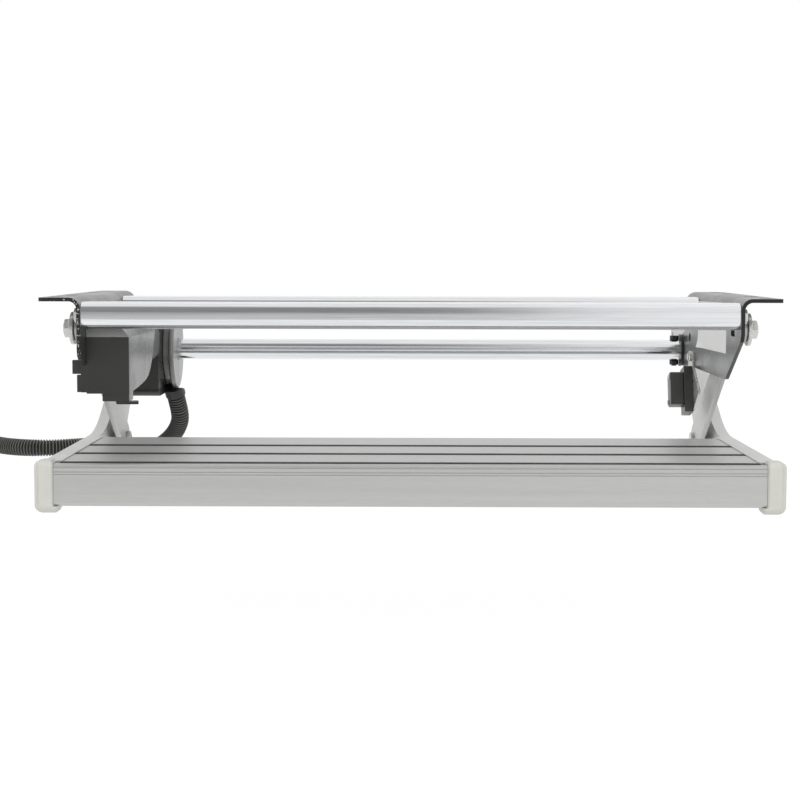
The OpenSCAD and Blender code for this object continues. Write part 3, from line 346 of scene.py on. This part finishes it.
ribbed = bpy.data.node_groups.new("ribbed_tube", "GeometryNodeTree")
ribbed.interface.new_socket(name="Geometry", in_out="OUTPUT", socket_type="NodeSocketGeometry")
tree_socket(ribbed, "Geometry", "NodeSocketGeometry")
tree_socket(ribbed, "Radius", "NodeSocketFloat", hose_d / 2)
tree_socket(ribbed, "Rib Depth", "NodeSocketFloat", rib_depth)
tree_socket(ribbed, "Rib Pitch", "NodeSocketFloat", rib_pitch)
tree_socket(ribbed, "Sides", "NodeSocketInt", hose_sides)
tree_socket(ribbed, "Material", "NodeSocketMaterial")
part = add_nodes(ribbed, {"in": "NodeGroupInput", "out": "NodeGroupOutput",
                          "curve": "GeometryNodeMeshToCurve",
                          "run": "GeometryNodeSplineParameter",
                          "round": "GeometryNodeCurvePrimitiveCircle",
                          "keep": "GeometryNodeStoreNamedAttribute",
                          "tube": "GeometryNodeCurveToMesh",
                          "plain": "GeometryNodeRealizeInstances",
                          "smooth": "GeometryNodeSetShadeSmooth",
                          "paint": "GeometryNodeSetMaterial"})
link = ribbed.links.new
turn = math_node(ribbed, "DIVIDE", part["run"].outputs["Length"], part["in"].outputs["Rib Pitch"])
wave = math_node(ribbed, "COSINE", math_node(ribbed, "MULTIPLY", turn, 2 * math.pi))
valley = math_node(ribbed, "MULTIPLY", math_node(ribbed, "SUBTRACT", 1.0, wave), 0.5)
groove = math_node(ribbed, "MULTIPLY", math_node(ribbed, "POWER", valley, rib_fullness),
                   part["in"].outputs["Rib Depth"])
link(math_node(ribbed, "SUBTRACT", part["in"].outputs["Radius"], groove),
     part["tube"].inputs["Scale"])
link(part["in"].outputs["Geometry"], part["curve"].inputs["Mesh"])
part["round"].inputs["Radius"].default_value = 1.0
link(part["in"].outputs["Sides"], part["round"].inputs["Resolution"])
part["keep"].inputs["Name"].default_value = "valley"
link(valley, part["keep"].inputs["Value"])
link(part["curve"].outputs["Curve"], part["keep"].inputs["Geometry"])
link(part["keep"].outputs["Geometry"], part["tube"].inputs["Curve"])
link(part["round"].outputs["Curve"], part["tube"].inputs["Profile Curve"])
part["tube"].inputs["Fill Caps"].default_value = True
link(part["tube"].outputs["Mesh"], part["plain"].inputs["Geometry"])
link(part["plain"].outputs["Geometry"], part["smooth"].inputs["Geometry"])
link(part["smooth"].outputs["Geometry"], part["paint"].inputs["Geometry"])
link(part["in"].outputs["Material"], part["paint"].inputs["Material"])
link(part["paint"].outputs["Geometry"], part["out"].inputs["Geometry"])

drift_range = (0.35, 0.65)
tooth_share = 0.4


def surface(name, dark, light, gloss, metal=0.0, drawn=(1, 1, 1), mottle=25.0, tooth=2500.0,
            bite=0.00002, ior=1.5):
    """A finish whose tone and roughness drift between two values, with a fine tooth.

    drawn stretches the pattern: a small number along an axis draws it out that way."""
    made = bpy.data.materials.new(name)
    made.use_nodes = True
    tree = made.node_tree
    link = tree.links.new
    shader = tree.nodes["Principled BSDF"].inputs
    shader["Metallic"].default_value = metal
    shader["IOR"].default_value = ior
    node = add_nodes(tree, {"place": "ShaderNodeTexCoord", "draw": "ShaderNodeMapping",
                            "drift": "ShaderNodeTexNoise", "tone": "ShaderNodeValToRGB",
                            "fine": "ShaderNodeTexNoise", "bump": "ShaderNodeBump",
                            "both": "ShaderNodeMath"})
    link(node["place"].outputs["Object"], node["draw"].inputs["Vector"])
    node["draw"].inputs["Scale"].default_value = drawn
    for noise, scale, detail in (("drift", mottle, 4.0), ("fine", tooth, 2.0)):
        node[noise].inputs["Scale"].default_value = scale
        node[noise].inputs["Detail"].default_value = detail
        link(node["draw"].outputs[0], node[noise].inputs["Vector"])
    drift, fine = node["drift"].outputs["Fac"], node["fine"].outputs["Fac"]
    node["both"].operation = "MULTIPLY_ADD"
    link(fine, node["both"].inputs[0])
    node["both"].inputs[1].default_value = tooth_share
    link(math_node(tree, "MULTIPLY", drift, 1 - tooth_share), node["both"].inputs[2])
    for element, place, tone in zip(node["tone"].color_ramp.elements, drift_range, (dark, light)):
        element.position = place
        element.color = (*tone, 1)
    link(node["both"].outputs[0], node["tone"].inputs["Fac"])
    link(node["tone"].outputs["Color"], shader["Base Color"])
    link(mapped(tree, drift, *drift_range, *gloss), shader["Roughness"])
    node["bump"].inputs["Strength"].default_value = 1.0
    node["bump"].inputs["Distance"].default_value = bite
    link(fine, node["bump"].inputs["Height"])
    link(node["bump"].outputs["Normal"], shader["Normal"])
    return made


mix_under, mix_over, mix_result = 6, 7, 2


def over_tone(finish, blend, factor, second):
    """Lays a second colour over a finish's tone; factor and second may be links or values."""
    tree = finish.node_tree
    over = tree.nodes.new("ShaderNodeMix")
    over.data_type = "RGBA"
    over.blend_type = blend
    tree.links.new(tree.nodes["tone"].outputs["Color"], over.inputs[mix_under])
    for socket, value in ((over.inputs["Factor"], factor), (over.inputs[mix_over], second)):
        if isinstance(value, bpy.types.NodeSocket):
            tree.links.new(value, socket)
        else:
            socket.default_value = value
    tree.links.new(over.outputs[mix_result], tree.nodes["Principled BSDF"].inputs["Base Color"])


merge_reach = 0.000002
flat_turn = math.radians(0.6)
sharp_turn = math.radians(35)


def edges_rounded(piece, edge, turns, sharp_from):
    """Rounds the edges that turn by more than sharp_from, and shades the flat faces flat."""
    bevel = piece.modifiers.new("round_edge", "BEVEL")
    bevel.width = edge
    bevel.segments = turns
    bevel.limit_method = "ANGLE"
    bevel.angle_limit = sharp_from
    piece.modifiers.new("flat_faces", "WEIGHTED_NORMAL")


def painted(piece, finish):
    """Gives a piece one finish, in place of any that its mesh came with."""
    piece.data.materials.clear()
    piece.data.materials.append(finish)


def dressed(name, nodes, edge, finish, turns=2):
    """A copy of CAD nodes, with its sharp edges rounded as far as edge, that stands for them."""
    copy = bmesh.new()
    for node in nodes:
        copy.from_mesh(frame["nodes"][node].data)
    bmesh.ops.remove_doubles(copy, verts=copy.verts, dist=merge_reach)
    bmesh.ops.dissolve_limit(copy, angle_limit=flat_turn, verts=copy.verts, edges=copy.edges)
    for face in copy.faces:
        face.material_index = 0
        face.smooth = True
    mesh = bpy.data.meshes.new(name + "_sharp")
    copy.to_mesh(mesh)
    copy.free()
    start = placed(name + "_sharp", mesh)
    edges_rounded(start, edge, turns, sharp_turn)
    made = settled(start, name)
    painted(made, finish)
    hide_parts(*nodes)
    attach(made, frame["nodes"][nodes[0]]["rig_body"])
    return made


hose_black = surface("hose_black", (0.012, 0.012, 0.0115), (0.02, 0.02, 0.019), (0.3, 0.4),
                     mottle=60.0)
rib_highlight_paint = surface("rib_highlight_paint", (0.014, 0.014, 0.0135), (0.024, 0.024, 0.023), (0.34, 0.44),
                    mottle=60.0, ior=1.45)
# Painted highlight on the ribs: the tone is multiplied up strongly on the rib crests and a little
# on their flanks, with a little less blue, and left as it is in the valleys.
rib_crest_gain = 11.0
rib_flank_gain = 1.2
rib_flank_from = 0.2
rib_highlight_blue = 0.96
part = add_nodes(rib_highlight_paint.node_tree, {"depth": "ShaderNodeAttribute",
                                       "rub": "ShaderNodeValToRGB"})
part["depth"].attribute_name = "valley"
rib_highlight_paint.node_tree.links.new(part["depth"].outputs["Fac"], part["rub"].inputs["Fac"])
rib_highlight_ramp = part["rub"].color_ramp.elements
rib_highlight_ramp.new(rib_flank_from)
for element, gain in zip(rib_highlight_ramp, (rib_crest_gain, rib_flank_gain)):
    element.color = (gain, gain, gain * rib_highlight_blue, 1)
over_tone(rib_highlight_paint, "MULTIPLY", 1.0, part["rub"].outputs["Color"])
hose = grown(line_object(hose_rings), ribbed,
             {"Radius": hose_d / 2, "Rib Depth": rib_depth, "Rib Pitch": rib_pitch,
              "Sides": hose_sides, "Material": rib_highlight_paint}, "ribbed_hose")
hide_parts("corrugated_hose", "hose_coil")
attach(hose, "frame")
gland = dressed("hose_clamp_ring", ["hose_gland"], 0.0004, hose_black)
plug_black = surface("plug_black", (0.018, 0.018, 0.017), (0.03, 0.03, 0.028), (0.4, 0.5),
                     tooth=4000.0)
plug = dressed("lead_connector", ["connector_plug"], 0.0008, plug_black)

# Brackets.
# Two folded steel sheets, one per side, slotted along the flange that bolts under the floor.
# Satin black paint over the cut sheet, with a few bright chips along its front edges.
paint_black = surface("paint_black", (0.024, 0.024, 0.024), (0.036, 0.036, 0.036), (0.26, 0.34),
                      tooth=1800.0, bite=0.000008, ior=2.0)
cut_black = surface("cut_black", (0.006, 0.006, 0.006), (0.012, 0.012, 0.012), (0.55, 0.7))
cut_chipped = surface("cut_chipped", (0.006, 0.006, 0.006), (0.012, 0.012, 0.012), (0.55, 0.7))
chip_bright = (0.62, 0.62, 0.6, 1)
chip_scale = 900.0
chip_from = 0.66
chip_fade = 0.03
front_cut = -0.6
chips = cut_chipped.node_tree
part = add_nodes(chips, {"spot": "ShaderNodeTexNoise"})
part["spot"].inputs["Scale"].default_value = chip_scale
part["spot"].inputs["Detail"].default_value = 1.0
chips.links.new(chips.nodes["place"].outputs["Object"], part["spot"].inputs["Vector"])
chipped = mapped(chips, part["spot"].outputs["Fac"], chip_from, chip_from + chip_fade, 0.0, 1.0)
over_tone(cut_chipped, "MIX", chipped, chip_bright)
for side, edge_paint in (("left", cut_chipped), ("right", cut_black)):
    sheet = dressed(side + "_bracket_sheet", [side + "_bracket"], 0.0004, paint_black)
    sheet.data.materials.append(edge_paint)
    for face in sheet.data.polygons:
        face.material_index = int(face.normal.y < front_cut)

# Cross tubes and torque tube.
# Aluminium extrusions between the brackets, polished bright and drawn lengthwise.
# The two cross tubes are flat-sided with screw channels, and the round one carries the cranks.
polish = surface("polish", (0.66, 0.675, 0.7), (0.92, 0.925, 0.93), (0.12, 0.2), metal=1.0,
                 drawn=(0.01, 1, 1), mottle=190.0, tooth=3000.0, bite=0.000004)
for name in ("front_cross_tube", "rear_cross_tube", "torque_tube"):
    dressed(name + "_bright", [name], 0.0003, polish)

# Tread.
# One hollow aluminium extrusion with fine lines across its nose, satin anodised.
# Three rubber strips lie in grooves along its top.
anodised = surface("anodised", (0.51, 0.51, 0.505), (0.6, 0.6, 0.59), (0.42, 0.5), metal=0.7,
                   drawn=(0.02, 1, 1), mottle=120.0, tooth=4000.0, bite=0.000006)
dressed("tread_plank", ["tread"], 0.0002, anodised)
rubber = surface("rubber", (0.012, 0.012, 0.012), (0.02, 0.02, 0.02), (0.6, 0.75), tooth=3000.0)
dressed("tread_strips", ["grip_strips"], 0.0002, rubber)

# Arms, levers and cranks.
# Flat aluminium bars cut to shape and satin blasted, with broken edges.
# The arms carry the tread, the levers hang from the brackets and the cranks drive the arms.
blasted = surface("blasted", (0.6, 0.6, 0.59), (0.68, 0.68, 0.67), (0.38, 0.48), metal=0.6,
                  tooth=3500.0, bite=0.00001)
for side in ("left", "right"):
    dressed(side + "_arm_bar", [side + "_arm"], 0.0006, blasted)
    dressed(side + "_lever_bar", [side + "_lever"], 0.0006, blasted)
    dressed(side + "_crank_bar", [side + "_crank"], 0.0006, blasted)

# End caps.
# Pale soft plastic mouldings pushed over the arms' front ends, rounded all over.
# They close the tread's ends and wrap under it with a small lip.
cap_pale = surface("cap_pale", (0.6, 0.6, 0.55), (0.67, 0.67, 0.62), (0.42, 0.52), mottle=40.0)
cap_grain = 0.0005
cap_in = 0.271
cap_face = 0.275
cap_side = 0.285
cap_out = 0.2905
cap_front = -0.002
cap_wall = 0.002
cap_back = 0.014
cap_high = 0.04125
cap_roof = 0.0395
cap_floor = 0.008
cap_lip_top = 0.0055
cap_walls = [((cap_face, cap_front, 0.0), (cap_out, cap_wall, cap_high)),
             ((cap_side, cap_front, 0.0), (cap_out, cap_back, cap_high)),
             ((cap_face, cap_front, cap_roof), (cap_out, cap_back, cap_high)),
             ((cap_face, cap_front, 0.0), (cap_out, cap_back, cap_floor)),
             ((cap_in, cap_front, 0.0), (cap_out, cap_back, cap_lip_top))]
cap_open = 1.0
cap_slack = 0.0001
cap_upper = ((cap_face, cap_front, -cap_open), (cap_out, cap_open, cap_high),
             (0.0025, 0.0035, 0.004), (0.007, 0.004, 0.005))
cap_whole = ((cap_in, cap_front, 0.0), (cap_out, cap_open, cap_open),
             (0.0035, 0.007, 0.006), (0.007, 0.007, 0.007))


def bulged(point, low, high, low_r, high_r):
    """A point of a box, moved so that the box's edges come out round.

    low_r and high_r are the radii at the box's low and high sides, along x, y and z."""
    core, off = [], []
    for k in range(3):
        below, over = low[k] + low_r[k], high[k] - high_r[k]
        core.append(min(max(point[k], below), over))
        reach = point[k] - core[k]
        off.append(reach / (low_r[k] if reach < 0 else high_r[k]))
    size = math.sqrt(sum(v * v for v in off))
    if size == 0:
        return Vector(point)
    gain = max(abs(v) for v in off) / size
    return Vector([core[k] + off[k] * gain * (low_r[k] if off[k] < 0 else high_r[k])
                   for k in range(3)])


for side, way in (("left", -1), ("right", 1)):
    walls = bmesh.new()
    for low, high in cap_walls:
        low, high = Vector(low), Vector(high)
        spot = Matrix.LocRotScale((low + high) / 2, None, high - low)
        bmesh.ops.create_cube(walls, size=1.0, matrix=spot)
    walls_mesh = bpy.data.meshes.new("cap_walls")
    walls.to_mesh(walls_mesh)
    walls.free()
    walls_start = placed("cap_walls", walls_mesh)
    fine = walls_start.modifiers.new("fine", "REMESH")
    fine.mode = "VOXEL"
    fine.voxel_size = cap_grain
    fine.use_smooth_shade = True
    cap = settled(walls_start, side + "_cap")
    for point in cap.data.vertices:
        at = point.co.copy()
        if at.x > cap_face - 2 * cap_slack and at.z > cap_lip_top + cap_slack:
            at = bulged(at, *cap_upper)
        at = bulged(at, *cap_whole)
        point.co = (at.x * way, at.y + row_shift, at.z)
    if way < 0:
        cap.data.flip_normals()
    cap.data.update()
    painted(cap, cap_pale)
    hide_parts(side + "_end_cap")
    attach(cap, "step")

# Bolts, nuts and pins.
# Zinc plated steel: cross tube bolts, lever studs with washers and nuts, and the step's pins.
# They are turned or pressed, and bright against the black sheet.
zinc = surface("zinc", (0.62, 0.62, 0.6), (0.78, 0.78, 0.76), (0.26, 0.4), metal=0.65,
               mottle=200.0)
for name, edge in (("cross_tube_bolts", 0.0005), ("lever_pivot_bolts", 0.0006),
                   ("lever_pivot_washers", 0.0003), ("gearbox_screws", 0.0004),
                   ("switch_screws", 0.0003), ("arm_screws", 0.0004),
                   ("step_pivot_bolts", 0.0004), ("step_pivot_spacers", 0.0003),
                   ("crank_pins", 0.0004)):
    dressed(name + "_zinc", [name], edge, zinc)

nut_points = 48
nut_crown = 0.97
nut_slope = 0.55
seated = bpy.data.node_groups.new("seated", "GeometryNodeTree")
seated.interface.new_socket(name="Geometry", in_out="OUTPUT", socket_type="NodeSocketGeometry")
tree_socket(seated, "Geometry", "NodeSocketGeometry")
tree_socket(seated, "Shape", "NodeSocketObject")
tree_socket(seated, "Material", "NodeSocketMaterial")
part = add_nodes(seated, {"in": "NodeGroupInput", "out": "NodeGroupOutput",
                          "shape": "GeometryNodeObjectInfo",
                          "way": "GeometryNodeInputNamedAttribute",
                          "aim": "FunctionNodeAlignRotationToVector",
                          "put": "GeometryNodeInstanceOnPoints",
                          "plain": "GeometryNodeRealizeInstances",
                          "paint": "GeometryNodeSetMaterial"})
link = seated.links.new
part["way"].data_type = "FLOAT_VECTOR"
part["way"].inputs["Name"].default_value = "way"
link(part["in"].outputs["Shape"], part["shape"].inputs["Object"])
link(part["way"].outputs["Attribute"], part["aim"].inputs["Vector"])
link(part["in"].outputs["Geometry"], part["put"].inputs["Points"])
link(part["shape"].outputs["Geometry"], part["put"].inputs["Instance"])
link(part["aim"].outputs["Rotation"], part["put"].inputs["Rotation"])
link(part["put"].outputs["Instances"], part["plain"].inputs["Geometry"])
link(part["plain"].outputs["Geometry"], part["paint"].inputs["Geometry"])
link(part["in"].outputs["Material"], part["paint"].inputs["Material"])
link(part["paint"].outputs["Geometry"], part["out"].inputs["Geometry"])


def hex_nut(across, height, bore_r):
    """A hexagon nut with chamfered corners at both ends, standing on z = 0."""
    nut = bmesh.new()
    crown_r = across / 2 * nut_crown
    columns = []
    for k in range(nut_points):
        turn = 2 * math.pi * k / nut_points
        flat = (turn + math.pi / 6) % (math.pi / 3) - math.pi / 6
        wide = across / 2 / math.cos(flat)
        drop = (wide - crown_r) * nut_slope
        profile = ((crown_r, 0.0), (wide, drop), (wide, height - drop), (crown_r, height),
                   (bore_r, height), (bore_r, 0.0))
        columns.append([nut.verts.new((radius * math.cos(turn), radius * math.sin(turn), z))
                        for radius, z in profile])
    for here, there in zip(columns, columns[1:] + columns[:1]):
        for low in range(len(here)):
            high = (low + 1) % len(here)
            nut.faces.new((here[low], there[low], there[high], here[high]))
    bmesh.ops.recalc_face_normals(nut, faces=nut.faces)
    mesh = bpy.data.meshes.new("nut_shape")
    nut.to_mesh(mesh)
    nut.free()
    return placed("nut_shape", mesh)


for name, out, place, across, height, bore_r in (
        ("lever_pivot_nuts", 0.2807, (-0.106336, 0.1385), 0.015, 0.0055, 0.00505),
        ("step_pivot_nuts", 0.2795, (0.067664, 0.028), 0.013, 0.005, 0.00405)):
    shape = hex_nut(across, height, bore_r)
    spots = bpy.data.meshes.new(name + "_spots")
    spots.from_pydata([(side * out, *place) for side in (-1, 1)], [], [])
    ways = spots.attributes.new("way", "FLOAT_VECTOR", "POINT")
    for k, side in enumerate((-1, 1)):
        ways.data[k].vector = (side, 0, 0)
    nuts = grown(placed(name + "_spots", spots), seated, {"Shape": shape, "Material": zinc},
                 name + "_hex")
    bpy.data.objects.remove(shape)
    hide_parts(name)
    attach(nuts, frame["nodes"][name]["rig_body"])

# Bushes and plugs.
# Smooth black plastic bearings for the torque tube and the levers, and plugs in the tube's ends.
# They are pushed into their holes.
bearing_black = surface("bearing_black", (0.02, 0.02, 0.02), (0.03, 0.03, 0.03), (0.25, 0.35))
for name in ("left_shaft_bush", "right_shaft_bush", "lever_bushes", "shaft_end_plugs"):
    dressed(name + "_black", [name], 0.0003, bearing_black)

# Drive unit.
# A black moulded gearbox with a round grey end cover, screwed to the left bracket.
# The motor lies ahead of it in a boxy moulded cover with a bevelled front.
moulded_black = surface("moulded_black", (0.012, 0.012, 0.0105), (0.018, 0.018, 0.016),
                        (0.24, 0.32), tooth=3500.0, bite=0.000008, ior=1.6)
moulded_grey = surface("moulded_grey", (0.17, 0.17, 0.165), (0.22, 0.22, 0.215), (0.24, 0.32),
                       tooth=3000.0, bite=0.00001, ior=1.8)
# A painted highlight: this lighter grey goes on the black cover's up-facing front bevel in place
# of the black moulding.
bevel_painted_highlight = surface("bevel_painted_highlight", (0.34, 0.34, 0.33), (0.4, 0.4, 0.39), (0.3, 0.38),
                     tooth=3500.0, ior=1.7)
can_black = surface("can_black", (0.015, 0.015, 0.015), (0.025, 0.025, 0.025), (0.3, 0.45))
dressed("gearbox_shell", ["gearbox_housing"], 0.0008, moulded_black)
dressed("gearbox_disc", ["gearbox_end_cover"], 0.001, moulded_grey, turns=3)
cover_in = 0.222
cover_plate = 0.256
cover_top = 0.141
cover_front = 0.040
cover_outline = [(cover_front, cover_top), (0.180, cover_top), (0.179, 0.135), (0.174, 0.127),
                 (0.1675, 0.1175), (0.160, 0.109), (0.151, 0.102), (0.140, 0.0972),
                 (0.126, 0.0945), (0.108, 0.0928), (0.085, 0.0913), (cover_front, 0.0895)]
cover_chamfer = 0.0065
cover_wall = 0.0025
cover_round = 0.0007
cover_sharp_turn = math.radians(28)
cover_facing = 0.99
cover_slack = 0.0002
cover_tabs = [((0.0402, 0.0425, 0.0905, 0.1335), -0.2555, -0.2605),
              ((0.0404, 0.0425, 0.0907, 0.1045), -0.2602, -0.2635),
              ((0.0402, 0.060, 0.0835, 0.0915), -cover_in - 0.0002, -0.2435)]
drain_r = 0.0016
drain_len = 0.01775
drain_at = Vector((-0.223875, 0.0416 + row_shift, 0.0827))
lit_bevel_lean = 0.5


def side_prism(made, outline, near, far):
    """Adds a prism on an outline of y and z, between two places along x."""
    ends = [[made.verts.new((x, y + row_shift, z)) for y, z in outline] for x in (near, far)]
    made.faces.new(ends[0])
    made.faces.new(list(reversed(ends[1])))
    for k in range(len(outline)):
        j = (k + 1) % len(outline)
        made.faces.new((ends[0][j], ends[0][k], ends[1][k], ends[1][j]))


def boxed(y0, y1, z0, z1):
    """The outline of a box, for a prism."""
    return [(y0, z1), (y1, z1), (y1, z0), (y0, z0)]


shell = bmesh.new()
side_prism(shell, cover_outline, -cover_in, -cover_plate)
bmesh.ops.recalc_face_normals(shell, faces=shell.faces)
chamfered = [e for e in shell.edges
             if all(v.co.z > cover_top - cover_slack for v in e.verts)
             and (all(v.co.x > -cover_in - cover_slack for v in e.verts)
                  or all(v.co.y < cover_front + cover_slack + row_shift for v in e.verts))]
bmesh.ops.bevel(shell, geom=chamfered, offset=cover_chamfer, segments=1, affect="EDGES",
                profile=0.5)
open_side = [f for f in shell.faces if f.normal.x < -cover_facing]
bmesh.ops.delete(shell, geom=open_side, context="FACES_ONLY")
bmesh.ops.solidify(shell, geom=shell.faces, thickness=cover_wall)
for sides, near, far in cover_tabs:
    side_prism(shell, boxed(*sides), near, far)
bmesh.ops.create_cone(shell, cap_ends=True, segments=20, radius1=drain_r, radius2=drain_r,
                      depth=drain_len, matrix=Matrix.Translation(drain_at)
                      @ Matrix.Rotation(math.pi / 2, 4, "Y"))
bmesh.ops.recalc_face_normals(shell, faces=shell.faces)
for face in shell.faces:
    face.smooth = True
shell_mesh = bpy.data.meshes.new("motor_shell_sharp")
shell.to_mesh(shell_mesh)
shell.free()
shell_start = placed("motor_shell_sharp", shell_mesh)
edges_rounded(shell_start, cover_round, 2, cover_sharp_turn)
motor_shell = settled(shell_start, "motor_shell")
painted(motor_shell, moulded_black)
# Faces that face up and forward, the front bevel, take the lighter grey of the painted highlight.
motor_shell.data.materials.append(bevel_painted_highlight)
for face in motor_shell.data.polygons:
    face.material_index = int(face.normal.z > lit_bevel_lean and face.normal.y < -lit_bevel_lean)
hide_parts("motor_cover")
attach(motor_shell, "frame")
dressed("motor_clip", ["cover_clip"], 0.0005, moulded_black)
dressed("motor_can_black", ["motor_can"], 0.0008, can_black)
dressed("shaft_cross_bolt", ["shaft_bolt"], 0.0004, can_black)

# Limit switch.
# A black switch with a side box on a bright pointed plate, screwed to the right bracket.
# It stops the motor at the end of the travel.
dressed("switch_bracket", ["switch_plate"], 0.0003, zinc)
switch_black = surface("switch_black", (0.032, 0.032, 0.03), (0.044, 0.044, 0.041), (0.3, 0.4),
                       tooth=3500.0, ior=1.6)
dressed("switch_block", ["switch_base"], 0.0005, switch_black)
dressed("switch_case", ["switch_box"], 0.0008, switch_black)

# Type label.
# A white paper sticker on the right bracket's inner face, left blank.
# It is pressed on by hand, a little askew, and one lower corner has lifted.
label_white = surface("label_white", (0.95, 0.95, 0.94), (0.98, 0.98, 0.97), (0.4, 0.5),
                      mottle=90.0, ior=1.7)
label_w = 0.135
label_h = 0.041
label_t = 0.00012
label_lift = 0.002
label_loose = 0.28
label_at = Vector((0.256, 0.1485 + row_shift, 0.1398))
label_tilt = math.radians(-0.8)
label_cols = 54
label_rows = 16
askew = Matrix.Rotation(label_tilt, 3, "X")
bare = bmesh.new()
points = []
for i in range(label_cols + 1):
    for k in range(label_rows + 1):
        a, b = i / label_cols, k / label_rows
        curl = max(0.0, a + (1 - b) - (2 - label_loose)) / label_loose
        off = label_t + label_lift * curl ** 2
        flat = askew @ Vector((0.0, (a - 0.5) * label_w, (b - 0.5) * label_h))
        points.append(bare.verts.new(label_at + flat - Vector((off, 0.0, 0.0))))
for i in range(label_cols):
    for k in range(label_rows):
        one = i * (label_rows + 1) + k
        bare.faces.new([points[j] for j in (one, one + 1, one + label_rows + 2,
                                            one + label_rows + 1)])
label_mesh = bpy.data.meshes.new("type_label_flat")
bare.normal_update()
bare.to_mesh(label_mesh)
bare.free()
label_start = placed("type_label_flat", label_mesh)
paper_wall = label_start.modifiers.new("paper_wall", "SOLIDIFY")
paper_wall.thickness = label_t
paper_wall.offset = -1.0
label = settled(label_start, "type_label")
painted(label, label_white)
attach(label, "frame")
